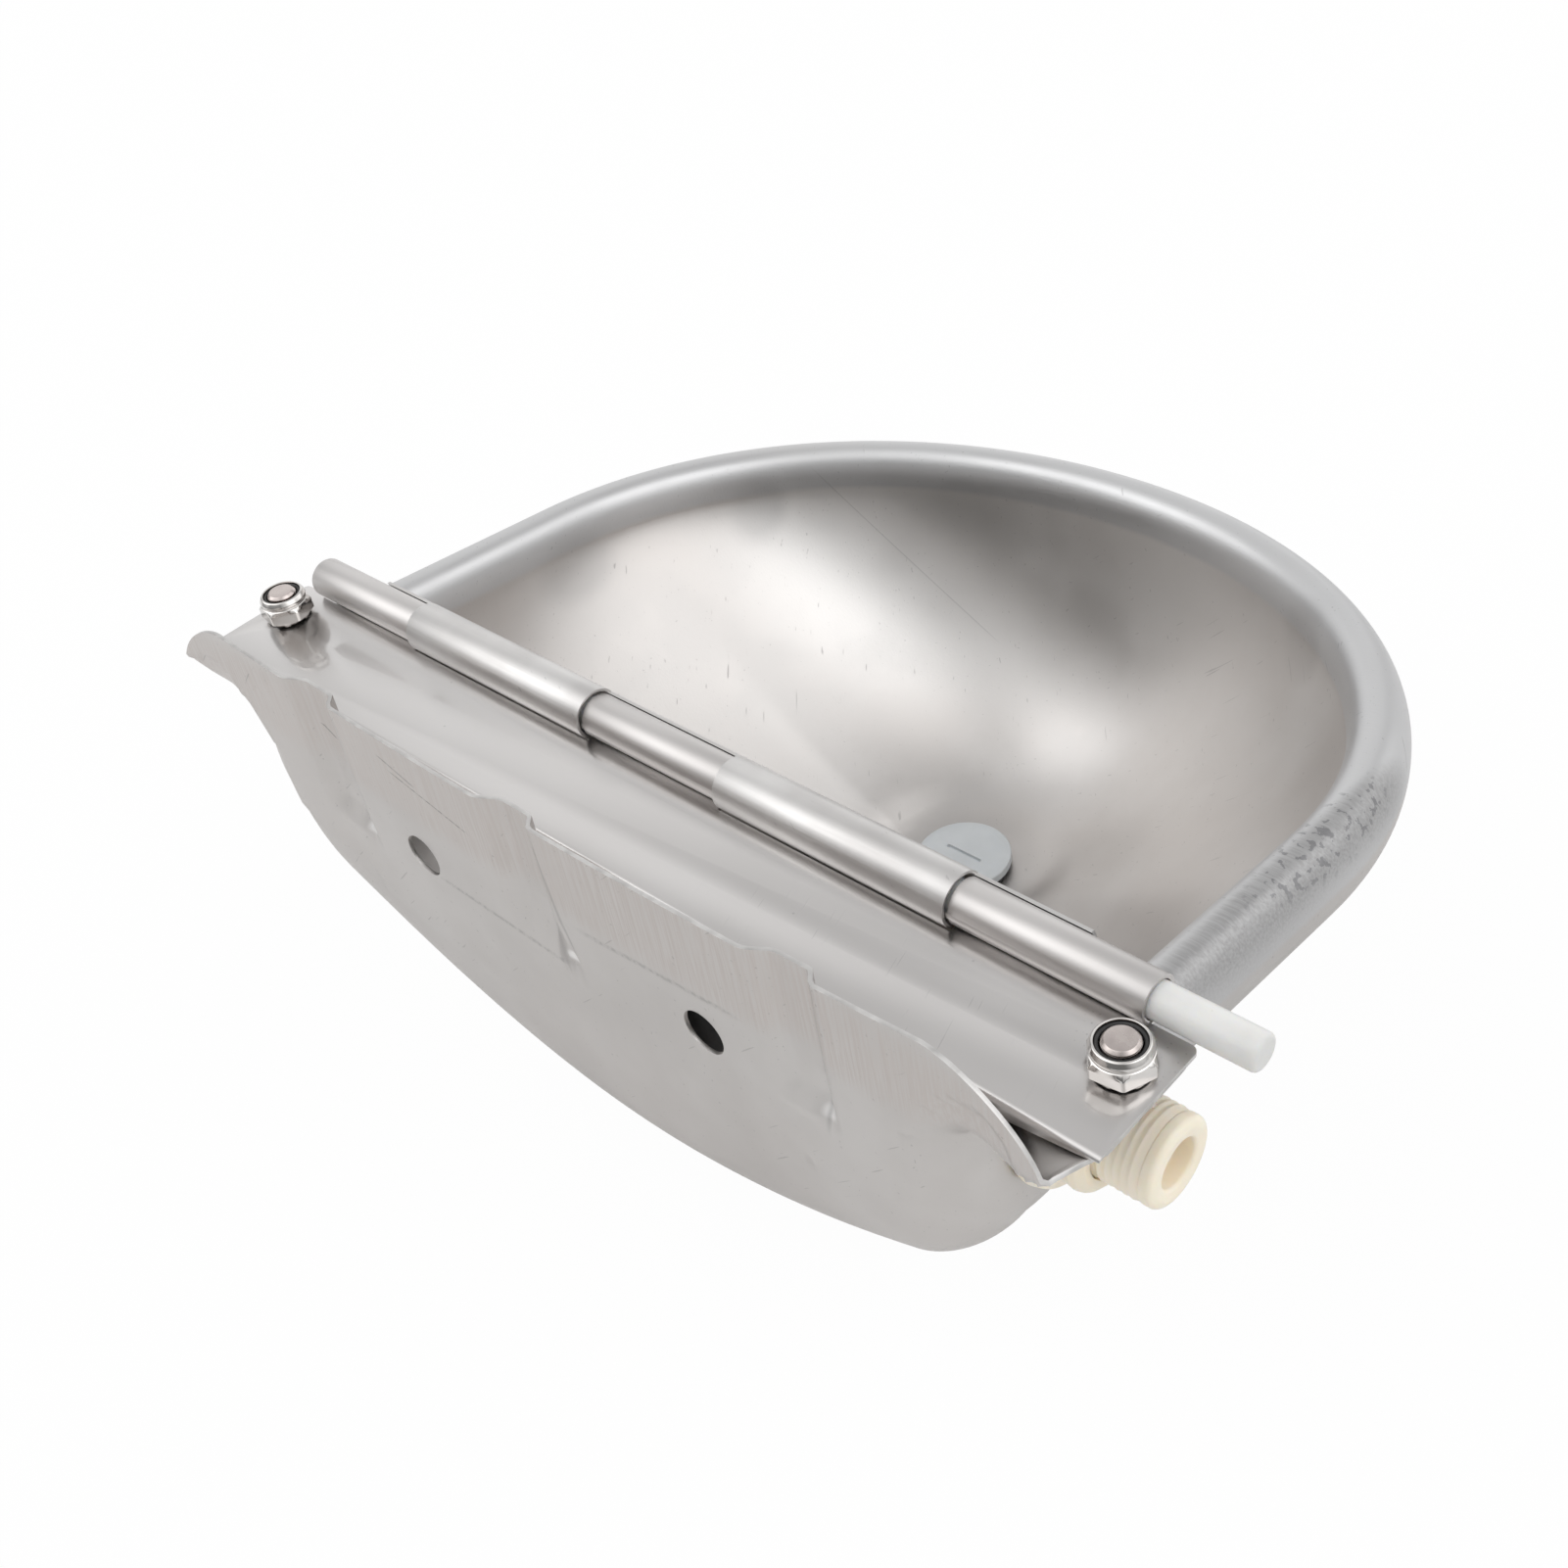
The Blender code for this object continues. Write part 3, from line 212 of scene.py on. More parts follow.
def makeStreaks():
    # Short thin scratches: the rare peaks of a much stretched noise, turned to lie at an angle.
    stretch = (25.0, 1400.0, 1400.0)
    tree, given, out = newGroup("thinStreaks", "Mask", Turn=(0.0, 0.0, 0.0), Stretch=stretch, Level=0.70)
    turned = addNode(tree, "ShaderNodeVectorRotate", rotation_type="EULER_XYZ")
    tree.links.new(given["Vector"], turned.inputs["Vector"])
    tree.links.new(given["Turn"], turned.inputs["Rotation"])
    noise = noiseIn(tree, vectorSums(tree, "MULTIPLY", turned.outputs[0], given["Stretch"]), 1.0, 1.0)
    feed(tree, out, spread(tree, noise, given["Level"], plus(tree, given["Level"], 0.05)))
    return tree


def makeSpecks():
    # Small dots at some of the points of a cell pattern.
    tree, given, out = newGroup("smallSpecks", "Mask", Scale=700.0, Size=0.25, Share=0.3)
    cells = addNode(tree, "ShaderNodeTexVoronoi")
    tree.links.new(given["Vector"], cells.inputs["Vector"])
    tree.links.new(given["Scale"], cells.inputs["Scale"])
    parted = addNode(tree, "ShaderNodeSeparateColor")
    tree.links.new(cells.outputs["Color"], parted.inputs[0])
    kept = sums(tree, "LESS_THAN", parted.outputs[0], given["Share"])
    feed(tree, out, times(tree, kept, spread(tree, cells.outputs["Distance"], given["Size"], 0.0)))
    return tree


def makeSpot():
    # One soft oval patch: 1 within its size, fading to 0 at its size times 1 + softness.
    size = (0.01, 0.01, 0.01)
    tree, given, out = newGroup("softSpot", "Mask", Centre=(0.0, 0.0, 0.0), Size=size, Softness=1.0)
    away = vectorSums(tree, "SUBTRACT", given["Vector"], given["Centre"])
    far = vectorSums(tree, "LENGTH", vectorSums(tree, "DIVIDE", away, given["Size"]))
    feed(tree, out, spread(tree, far, plus(tree, given["Softness"], 1.0), 1.0))
    return tree


def makeLineMark():
    # A hair-thin mark where a flat plane cuts the surface.
    tree, given, out = newGroup("lineMark", "Mask", Facing=(1.0, 0.0, 0.0), Offset=0.0, Width=0.0002)
    along = vectorSums(tree, "DOT_PRODUCT", given["Vector"], given["Facing"])
    far = sums(tree, "ABSOLUTE", sums(tree, "SUBTRACT", along, given["Offset"]))
    feed(tree, out, spread(tree, far, given["Width"], 0.0))
    return tree


grain = makeGrain()
cloud = makeCloud()
streak = makeStreaks()
speck = makeSpecks()
spot = makeSpot()
lineMark = makeLineMark()
print("shared effects are ready")


# Each of the next few is a shared effect and the values to use it with.
def cloudsOf(scale, detail):
    return cloud, {"Scale": scale, "Detail": detail}


def linesOf(stretch):
    return grain, {"Stretch": stretch}


def streaksOf(turn, stretch, level):
    return streak, {"Turn": turn, "Stretch": stretch, "Level": level}


def specksOf(scale, size, share):
    return speck, {"Scale": scale, "Size": size, "Share": share}


def spotAt(centre, size, softness):
    return spot, {"Centre": centre, "Size": size, "Softness": softness}


def lineAt(facing, offset, width):
    return lineMark, {"Facing": facing, "Offset": offset, "Width": width}


def newFinish(name, effects):
    # A material, and the shared effects that it asks for by name, each as its one output.
    made = bpy.data.materials.new(name)
    made.use_nodes = True
    tree = made.node_tree
    where = addNode(tree, "ShaderNodeTexCoord").outputs["Object"]
    placed = {label: useGroup(tree, where, group, values) for label, (group, values) in effects.items()}
    return made, tree, tree.nodes["Principled BSDF"], where, placed


def bump(tree, shader, height, strength, distance):
    made = addNode(tree, "ShaderNodeBump")
    made.inputs["Strength"].default_value = strength
    made.inputs["Distance"].default_value = distance
    tree.links.new(height, made.inputs["Height"])
    tree.links.new(made.outputs["Normal"], shader.inputs["Normal"])


def dress(tree, shader, colour, rough, **plain):
    # Colour and roughness change over the surface, the rest are plain values.
    feed(tree, shader.inputs["Base Color"], colour)
    feed(tree, shader.inputs["Roughness"], rough)
    for label, value in plain.items():
        shader.inputs[label.replace("_", " ")].default_value = value


bowlFinish = {
    "light": (0.650, 0.632, 0.618, 1.0),
    "dark": (0.575, 0.554, 0.538, 1.0),
    "warm": (0.610, 0.560, 0.530, 1.0),
    "scuff": (0.330, 0.325, 0.325, 1.0),
    # painted light: the lighter colour of a patch on the far inner wall
    "paintedWallLight": (0.800, 0.785, 0.770, 1.0),
    "rimCool": (0.606, 0.610, 0.618, 1.0),
    "brushed": (0.470, 0.450, 0.440, 1.0),
    # the colour of the painted highlights at the feet of the ribs
    "footPaintedHighlight": (0.920, 0.905, 0.895, 1.0),
    "nick": (0.14, 0.14, 0.15, 1.0),
    # the colour of scratches and of the painted shade lines along creases
    "scratchAndCreaseShade": (0.10, 0.10, 0.10, 1.0),
    "roughness": 0.43,
    "effects": {
        "patches": cloudsOf(28.0, 4.0),
        "broad": cloudsOf(9.0, 2.0),
        "worn": cloudsOf(420.0, 6.0),
        "ragged": cloudsOf(600.0, 2.0),
        "upright": linesOf((1600.0, 1600.0, 45.0)),
        "across": linesOf((50.0, 1500.0, 1500.0)),
        "rubbing": linesOf((260.0, 2600.0, 700.0)),
        "streaks": streaksOf((0.3, 0.5, 0.9), (28.0, 1100.0, 1100.0), 0.735),
        "crossed": streaksOf((1.2, -0.4, -0.7), (40.0, 1300.0, 1300.0), 0.74),
        "specks": specksOf(260.0, 0.10, 0.10),
        # painted light: where the far inner wall is made lighter
        "paintedWallLightSpot": spotAt((0.048, -0.226, 0.0), (0.066, 0.048, 0.035), 0.85),
        # a scuffed band on the rim's outer side, darkened further as painted shade for a dark reflection
        # there
        "rimScuffAndPaintedShade": spotAt((-0.1332, -0.100, 0.038), (0.0034, 0.050, 0.012), 1.2),
        "rimNicks": spotAt((-0.1320, -0.118, 0.036), (0.0040, 0.022, 0.010), 0.8),
        "rimRub": spotAt((0.088, -0.202, 0.034), (0.040, 0.022, 0.006), 1.0),
        "stain": spotAt((0.0, -0.143, -0.0648), (0.018, 0.018, 0.004), 0.5),
        "plateWear": spotAt((0.0, 0.0, 0.052), (0.118, 0.008, 0.010), 0.8),
        "arc": lineAt((-0.2813, -0.8092, 0.5158), 0.1400, 0.00028),
        "arcPlace": spotAt((0.064, -0.200, -0.006), (0.034, 0.016, 0.036), 0.35),
    },
    # the cool band on the rim: above a level that falls with the rim, faded in away from the plate
    "rimBand": {"levels": (0.0325, 0.0350), "fallFrom": 0.030, "fall": 0.12, "fadeIn": (0.020, 0.040)},
    # dull smudges: centre, size and strength
    "smudgeSoftness": 1.4,
    "smudges": (
        ((0.1023, -0.1756, 0.0115), (0.004, 0.006, 0.006), 0.16),
        ((0.1215, -0.1157, 0.0175), (0.004, 0.008, 0.006), 0.12),
        ((-0.0762, -0.2024, 0.0115), (0.008, 0.004, 0.007), 0.12),
        ((-0.0360, -0.1400, -0.0640), (0.006, 0.008, 0.004), 0.10),
        ((0.0100, -0.1640, -0.0640), (0.010, 0.006, 0.004), 0.08),
    ),
    # painted highlights: bright points at the feet of the ribs
    "paintedHighlightPlaces": ((0.0732, 0.0, 0.0203), (-0.0066, 0.0, 0.0207), (-0.0873, 0.0, 0.0218)),
    "paintedHighlightSize": (0.0012, 0.004, 0.0009),
    "paintedHighlightSoftness": 1.6,
    # thin marks on the plate, scratches and lines of painted shade along creases: the plane that draws the
    # line, its half width, the centre and size of where it shows, and how dark it is
    "scratchAndShadeSoftness": 0.4,
    "scratchesAndCreaseShade": (
        ((0.22, 0.0, -0.975), -0.0393, 0.00035, (0.036, 0.0, 0.0485), (0.014, 0.004, 0.004), 0.75),
        ((0.30, 0.0, -0.954), -0.0366, 0.00050, (0.047, 0.0, 0.0530), (0.006, 0.004, 0.003), 0.55),
        # painted shade: faint dark lines along shallow creases across the plate
        ((0.05, 0.0, -1.0), -0.0180, 0.00110, (0.018, 0.0, 0.0185), (0.022, 0.004, 0.003), 0.09),
        ((-0.08, 0.0, -1.0), -0.0330, 0.00120, (-0.040, 0.0, 0.0350), (0.022, 0.004, 0.006), 0.10),
        # painted shade: dark lines along the creases of the ribs' flanks
        ((0.9976, 0.0, -0.0698), 0.0718, 0.0010, (0.0745, 0.0, 0.038), (0.004, 0.006, 0.015), 0.26),
        ((0.9929, 0.0, -0.1191), -0.0111, 0.0010, (-0.0065, 0.0, 0.038), (0.004, 0.006, 0.015), 0.26),
        ((1.0, 0.0, 0.0), -0.0868, 0.0010, (-0.0868, 0.0, 0.036), (0.004, 0.006, 0.015), 0.34),
        # a scratch
        ((0.5, 0.0, -0.866), -0.0013, 0.00040, (0.081, 0.0, 0.0483), (0.003, 0.004, 0.003), 0.80),
    ),
}


def rimBand(tree, where):
    # 1 on the rolled rim and 0 below it, outward from the plate.
    r = bowlFinish["rimBand"]
    outward = times(tree, partOf(tree, where, "Y"), -1.0)
    past = sums(tree, "MAXIMUM", sums(tree, "SUBTRACT", outward, r["fallFrom"]), 0.0)
    level = plus(tree, partOf(tree, where, "Z"), times(tree, past, r["fall"]))
    return times(tree, spread(tree, level, *r["levels"]), spread(tree, outward, *r["fadeIn"]))


def bowlLayers(tree, where, e, marks, scuffAndShade, onRim):
    # What lies over the bare steel, in order from the lowest: wear and bands with a painted lighter patch on
    # the far wall, then dirt and the rim's scuffed band with painted shade, then single marks, painted
    # highlights at the ribs' feet and painted shade along creases.
    f = bowlFinish
    layers = [
        (f["warm"], (e["broad"], 0.25)),
        (f["warm"], (e["plateWear"], spread(tree, e["upright"], 0.2, 0.8, 0.15, 0.85))),
        # painted light: a lighter patch on the far inner wall
        (f["paintedWallLight"], (e["paintedWallLightSpot"], 0.80)),
        (f["brushed"], (e["plateWear"], spread(tree, e["upright"], 0.30, 0.80, 0.0, 0.24))),
        (f["rimCool"], (onRim, 0.85)),
        # the rim's scuffed band, partly painted shade
        (f["scuff"], (scuffAndShade, 0.80)),
        (f["nick"], (e["rimNicks"], spread(tree, e["worn"], 0.76, 0.84, 0.0, 0.5))),
        (f["warm"], (e["rimRub"], e["rubbing"], 0.25)),
        (f["scuff"], (e["stain"], 0.18)),
        (f["scuff"], (marks, 0.30)),
        (f["scuff"], (e["specks"], 0.45)),
    ]
    for centre, size, strength in f["smudges"]:
        here = useGroup(tree, where, *spotAt(centre, size, f["smudgeSoftness"]))
        layers.append((f["scuff"], (here, spread(tree, e["patches"], 0.0, 1.0, strength, 2.0 * strength))))
    # painted highlights at the feet of the ribs
    for centre in f["paintedHighlightPlaces"]:
        here = useGroup(tree, where, *spotAt(centre, f["paintedHighlightSize"], f["paintedHighlightSoftness"]))
        layers.append((f["footPaintedHighlight"], (here, 0.8)))
    layers.append((f["scuff"], (e["arc"], e["arcPlace"], 0.35)))
    # scratches, and lines of painted shade along creases
    for facing, offset, width, centre, size, strength in f["scratchesAndCreaseShade"]:
        line = useGroup(tree, where, *lineAt(facing, offset, width))
        here = useGroup(tree, where, *spotAt(centre, size, f["scratchAndShadeSoftness"]))
        layers.append((f["scratchAndCreaseShade"], (line, here, spread(tree, e["ragged"], 0.2, 0.7, 0.3, strength))))
    return layers


def makeBowlSteel():
    f = bowlFinish
    made, tree, shader, where, e = newFinish("bowlSteel", f["effects"])
    patches, across = e["patches"], e["across"]
    marks = sums(tree, "MAXIMUM", e["streaks"], e["crossed"])
    # the rim's scuffed band with its cross brushing, darkened further as painted shade for the rim's dark
    # reflection
    scuffAndShade = times(tree, e["rimScuffAndPaintedShade"], spread(tree, across, 0.0, 1.0, 0.62, 1.0))
    onRim = rimBand(tree, where)
    colour = mixColour(tree, patches, f["dark"], f["light"])
    colour = layered(tree, colour, bowlLayers(tree, where, e, marks, scuffAndShade, onRim))
    rough = spread(tree, patches, 0.0, 1.0, f["roughness"] - 0.04, f["roughness"] + 0.04)
    rough = plus(tree, rough, times(tree, scuffAndShade, 0.12))
    rough = plus(tree, rough, times(tree, marks, 0.15), clamp=True)
    dress(tree, shader, colour, rough, Metallic=1.0)
    lines = plus(tree, times(tree, e["upright"], 0.6), times(tree, across, 0.4))
    height = sums(tree, "SUBTRACT", lines, times(tree, marks, 1.5))
    height = plus(tree, height, times(tree, patches, 0.8))
    height = plus(tree, height, times(tree, onRim, across, 0.9))
    bump(tree, shader, height, 0.10, 0.00012)
    return made


coverFinish = {
    "light": (0.640, 0.622, 0.612, 1.0),
    "dark": (0.590, 0.570, 0.558, 1.0),
    "scuff": (0.36, 0.35, 0.35, 1.0),
    "roughness": 0.30,
    "curlRoughness": 0.40,
    "gloss": 0.90,
    # the curls' own finish fades in between these levels
    "curlLevels": (0.0453, 0.0458),
    "effects": {
        "patches": cloudsOf(14.0, 2.0),
        "across": linesOf((22.0, 1300.0, 1300.0)),
        "streaks": streaksOf((0.0, 0.0, 1.3), (90.0, 1500.0, 300.0), 0.70),
        "specks": specksOf(900.0, 0.30, 0.5),
        "fewSpecks": specksOf(150.0, 0.07, 0.12),
        "corner": spotAt((-0.138, -0.037, 0.045), (0.009, 0.006, 0.004), 0.8),
        "brushed": spotAt((-0.087, -0.020, 0.045), (0.030, 0.008, 0.004), 0.9),
    },
}


def makeCoverSteel():
    f = coverFinish
    made, tree, shader, where, e = newFinish("coverSteel", f["effects"])
    patches, across = e["patches"], e["across"]
    dots = sums(tree, "MAXIMUM", times(tree, e["corner"], e["specks"]), e["fewSpecks"])
    strokes = times(tree, e["brushed"], e["streaks"])
    colour = layered(tree, mixColour(tree, patches, f["dark"], f["light"]), [
        (f["light"], (across, 0.12)),
        (f["scuff"], (dots, 0.7)),
        (f["scuff"], (strokes, 0.35)),
    ])
    rough = spread(tree, patches, 0.0, 1.0, f["roughness"] - 0.02, f["roughness"] + 0.03)
    rough = plus(tree, rough, times(tree, strokes, 0.12))
    onCurl = spread(tree, partOf(tree, where, "Z"), *f["curlLevels"])
    rough = spread(tree, onCurl, 0.0, 1.0, rough, f["curlRoughness"])
    dress(tree, shader, colour, rough, Metallic=1.0, Coat_Roughness=0.05, Coat_IOR=1.9)
    feed(tree, shader.inputs["Coat Weight"], spread(tree, onCurl, 0.0, 1.0, f["gloss"], 0.0))
    bump(tree, shader, plus(tree, times(tree, across, 0.25), times(tree, patches, 2.0)), 0.06, 0.0002)
    return made


baffleFinish = {
    "light": (0.70, 0.69, 0.68, 1.0),
    "dark": (0.60, 0.585, 0.575, 1.0),
    "scuff": (0.40, 0.39, 0.39, 1.0),
    "roughness": 0.40,
    "effects": {
        "patches": cloudsOf(40.0, 3.0),
        "along": linesOf((35.0, 1800.0, 1800.0)),
        "streaks": streaksOf((0.4, 0.2, 0.5), (60.0, 1300.0, 1300.0), 0.73),
        "specks": specksOf(300.0, 0.09, 0.12),
    },
}


def makeBaffleSteel():
    f = baffleFinish
    made, tree, shader, where, e = newFinish("baffleSteel", f["effects"])
    marks = sums(tree, "MAXIMUM", e["streaks"], e["specks"])
    colour = mixColour(tree, e["patches"], f["dark"], f["light"])
    colour = layered(tree, colour, [(f["scuff"], (marks, 0.4))])
    rough = spread(tree, e["along"], 0.0, 1.0, f["roughness"] - 0.04, f["roughness"] + 0.05)
    dress(tree, shader, colour, rough, Metallic=1.0)
    bump(tree, shader, sums(tree, "SUBTRACT", e["along"], times(tree, e["streaks"], 1.2)), 0.05, 0.00010)
    return made


def makePolishedSteel(name, light, dark, roughness, relief):
    # Bright turned steel with faint turning lines and a few handling marks.
    made, tree, shader, where, e = newFinish(name, {
        "patches": cloudsOf(180.0, 3.0),
        "rings": linesOf((150.0, 150.0, 5200.0)),
        "specks": specksOf(1300.0, 0.14, 0.15),
    })
    mark = (0.3, 0.28, 0.27, 1.0)
    colour = layered(tree, mixColour(tree, e["patches"], dark, light), [(mark, (e["specks"], 0.35))])
    rough = spread(tree, e["patches"], 0.0, 1.0, roughness * 0.8, roughness * 1.3)
    dress(tree, shader, colour, rough, Metallic=1.0)
    bump(tree, shader, plus(tree, e["rings"], e["patches"]), relief, 0.00006)
    return made


def makePlastic(name, light, dark, roughness, depth, glow, pebbles, mark=(0.35, 0.33, 0.30, 1.0)):
    # Moulded plastic: faint clouds under the skin, a fine pebbled surface, a few small dirt specks.
    made, tree, shader, where, e = newFinish(name, {
        "patches": cloudsOf(90.0, 4.0),
        "fine": cloudsOf(pebbles, 2.0),
        "specks": specksOf(420.0, 0.10, 0.14),
        "streaks": streaksOf((0.2, 0.3, 0.4), (120.0, 1500.0, 1500.0), 0.71),
    })
    colour = layered(tree, mixColour(tree, e["patches"], dark, light), [(mark, (e["specks"], 0.35))])
    rough = spread(tree, e["fine"], 0.0, 1.0, roughness - 0.05, roughness + 0.07)
    under = {"Subsurface_Weight": glow, "Subsurface_Radius": (1.0, 0.75, 0.45), "Subsurface_Scale": depth}
    dress(tree, shader, colour, rough, **under)
    bump(tree, shader, sums(tree, "SUBTRACT", e["fine"], times(tree, e["streaks"], 0.8)), 0.18, 0.00008)
    return made


def makeRubber(name):
    made, tree, shader, where, e = newFinish(name, {
        "dust": cloudsOf(120.0, 5.0),
        "fine": cloudsOf(1800.0, 2.0),
    })
    colour = mixColour(tree, e["dust"], (0.012, 0.012, 0.013, 1.0), (0.035, 0.034, 0.033, 1.0))
    dress(tree, shader, colour, spread(tree, e["fine"], 0.0, 1.0, 0.48, 0.66))
    bump(tree, shader, e["fine"], 0.25, 0.00006)
    return made


# light colour, dark colour, roughness and how strong the turning lines are
polished = {
    "edgeSteel": ((0.70, 0.69, 0.68, 1.0), (0.52, 0.51, 0.50, 1.0), 0.38, 0.25),
    "nutSteel": ((0.74, 0.72, 0.70, 1.0), (0.66, 0.64, 0.62, 1.0), 0.10, 0.05),
    "boltSteel": ((0.66, 0.60, 0.57, 1.0), (0.55, 0.49, 0.47, 1.0), 0.24, 0.12),
    "brassFinish": ((0.72, 0.57, 0.30, 1.0), (0.62, 0.47, 0.24, 1.0), 0.28, 0.12),
}

# light colour, dark colour, roughness, how deep light goes, how much of it, and how fine the pebbles are
plastics = {
    "creamPlastic": ((0.975, 0.885, 0.750, 1.0), (0.955, 0.850, 0.690, 1.0), 0.36, 0.0030, 0.45, 900.0),
    "rodPlastic": ((0.760, 0.760, 0.748, 1.0), (0.690, 0.692, 0.684, 1.0), 0.34, 0.0030, 0.30, 1300.0),
    "plugPlastic": ((0.600, 0.625, 0.640, 1.0), (0.560, 0.585, 0.600, 1.0), 0.48, 0.0010, 0.05, 1500.0),
}
# near black plastic for the float, its arm and the plunger: painted shade for the dark inside of the float
# chamber seen through the wall holes
darkPlastic = ((0.035, 0.036, 0.038, 1.0), (0.022, 0.023, 0.025, 1.0), 0.42, 0.0005, 0.02, 1000.0)

bowlSteel = makeBowlSteel()
coverSteel = makeCoverSteel()
baffleSteel = makeBaffleSteel()
edgeSteel, nutSteel, boltSteel, brassFinish = [
    makePolishedSteel(name, *given) for name, given in polished.items()]
creamPlastic, rodPlastic, plugPlastic = [makePlastic(name, *given) for name, given in plastics.items()]
# painted shade: the float chamber's pieces are near black
floatPlastic = makePlastic("floatPlastic", *darkPlastic, mark=(0.10, 0.10, 0.10, 1.0))
insertNylon = makeRubber("insertNylon")
blackRubber = makeRubber("blackRubber")
print("finishes are ready")


def mixedShader(tree, share, first, second, surface):
    made = addNode(tree, "ShaderNodeMixShader")
    for socket, value in zip(made.inputs[:3], (share, first, second)):
        feed(tree, socket, value)
    tree.links.new(made.outputs[0], surface)


def seenByCamera(tree):
    return addNode(tree, "ShaderNodeLightPath").outputs["Is Camera Ray"]


def plainWhite(tree, kind):
    made = addNode(tree, kind)
    made.inputs["Color"].default_value = (1.0, 1.0, 1.0, 1.0)
    made.inputs["Strength"].default_value = 1.0
    return made.outputs[0]


def paintFloor():
    # Pale to the light, and nearly all a plain white to the camera.
    made, tree, shader, where, e = newFinish("paleFloor", {"cloud": cloudsOf(3.0, 2.0)})
    dress(tree, shader, mixColour(tree, e["cloud"], (0.80, 0.80, 0.80, 1.0), (0.83, 0.83, 0.83, 1.0)), 0.9)
    white = plainWhite(tree, "ShaderNodeEmission")
    share = times(tree, seenByCamera(tree), 0.97)
    mixedShader(tree, share, shader.outputs[0], white, tree.nodes["Material Output"].inputs["Surface"])
    return made


def layFloor():
    half, level = 3.0, studio["floorLevel"]
    mesh = bpy.data.meshes.new("floor")
    corners = [(-half, -half, level), (half, -half, level), (half, half, level), (-half, half, level)]
    mesh.from_pydata(corners, [], [(0, 1, 2, 3)])
    floor = bpy.data.objects.new("floor", mesh)
    bpy.context.scene.collection.objects.link(floor)
    mesh.materials.append(paintFloor())


def lightWorld():
    # White to the camera. Everything else sees an even light with soft boxes, each a smooth round glow
    # in one direction.
    world = bpy.data.worlds.new("studio")
    bpy.context.scene.world = world
    world.use_nodes = True
    tree = world.node_tree
    tree.nodes.clear()
    where = addNode(tree, "ShaderNodeTexCoord").outputs["Generated"]
    level = studio["evenLight"]
    middle = math.cos(math.radians(studio["boxMiddle"]))
    for azimuth, elevation, half, strength in studio["softBoxes"].values():
        turn, rise = math.radians(azimuth), math.radians(elevation)
        toward = (math.cos(turn) * math.cos(rise), math.sin(turn) * math.cos(rise), math.sin(rise))
        facing = vectorSums(tree, "DOT_PRODUCT", where, toward)
        glow = spread(tree, facing, math.cos(math.radians(half)), middle, 0.0, strength)
        level = plus(tree, glow, level)
    room = addNode(tree, "ShaderNodeBackground")
    tree.links.new(level, room.inputs["Strength"])
    white = plainWhite(tree, "ShaderNodeBackground")
    surface = addNode(tree, "ShaderNodeOutputWorld").inputs["Surface"]
    mixedShader(tree, seenByCamera(tree), room.outputs[0], white, surface)


placeCamera()
lightWorld()
layFloor()
bpy.context.scene.view_settings.view_transform = "Standard"
print("studio is set")


def stepUp(t):
    t = np.clip(t, 0.0, 1.0)
    return t * t * (3.0 - 2.0 * t)


def gridFaces(rows, columns, loopRows=False, loopColumns=False):
    # Each point of the grid is joined with its right, lower-right and lower neighbour.
    down = np.arange(rows if loopRows else rows - 1)
    along = np.arange(columns if loopColumns else columns - 1)
    r, c = np.meshgrid(down, along, indexing="ij")
    row, below = r * columns, (r + 1) % rows * columns
    right = (c + 1) % columns
    return np.stack([row + c, row + right, below + right, below + c], axis=-1).reshape(-1, 4)


def newThing(name, points, faces):
    # Points in millimetres go into the mesh as metres.
    mesh = bpy.data.meshes.new(name)
    places = (np.asarray(points).reshape(-1, 3) * 0.001).tolist()
    mesh.from_pydata(places, [], [list(map(int, face)) for face in faces])
    thing = bpy.data.objects.new(name, mesh)
    bpy.context.scene.collection.objects.link(thing)
    return thing


def weld(thing):
    # Closes seams and poles and turns the faces outward.
    shape = bmesh.new()
    shape.from_mesh(thing.data)
    bmesh.ops.remove_doubles(shape, verts=shape.verts, dist=0.000002)
    bmesh.ops.dissolve_degenerate(shape, edges=shape.edges, dist=0.0000005)
    bmesh.ops.recalc_face_normals(shape, faces=shape.faces)
    shape.to_mesh(thing.data)
    shape.free()
    return thing


def thicken(thing, thickness, offset, look):
    # The cut edge of a sheet gets the bright edge finish, its two sides their own.
    thing.data.materials.append(look)
    thing.data.materials.append(edgeSteel)
    step = thing.modifiers.new("sheet", "SOLIDIFY")
    step.material_offset_rim = 1
    step.thickness = thickness * 0.001
    step.offset = offset
    step.use_even_offset = True


def cutWith(thing, others, operation="DIFFERENCE"):
    # Takes the others away from the thing, or joins them to it.
    for other in others:
        step = thing.modifiers.new("cut", "BOOLEAN")
        step.object = other
        step.operation = operation
        step.solver = "EXACT"


def soften(thing, width, angle=40.0):
    step = thing.modifiers.new("soft", "BEVEL")
    step.width = width * 0.001
    step.segments = 2
    step.limit_method = "ANGLE"
    step.angle_limit = math.radians(angle)
    step.use_clamp_overlap = True
    step.harden_normals = False


def settle(thing, helpers):
    # Puts the modifiers' result into the mesh and clears away the helpers.
    bpy.context.view_layer.update()
    graph = bpy.context.evaluated_depsgraph_get()
    mesh = bpy.data.meshes.new_from_object(thing.evaluated_get(graph))
    thing.modifiers.clear()
    thing.data = mesh
    mesh.name = thing.name
    for helper in helpers:
        bpy.data.objects.remove(helper, do_unlink=True)
    return thing


def carve(thing, cutters, width, angle=40.0):
    # Cuts the thing and then rounds its edges.
    cutWith(thing, cutters)
    soften(thing, width, angle)
    return settle(thing, cutters)


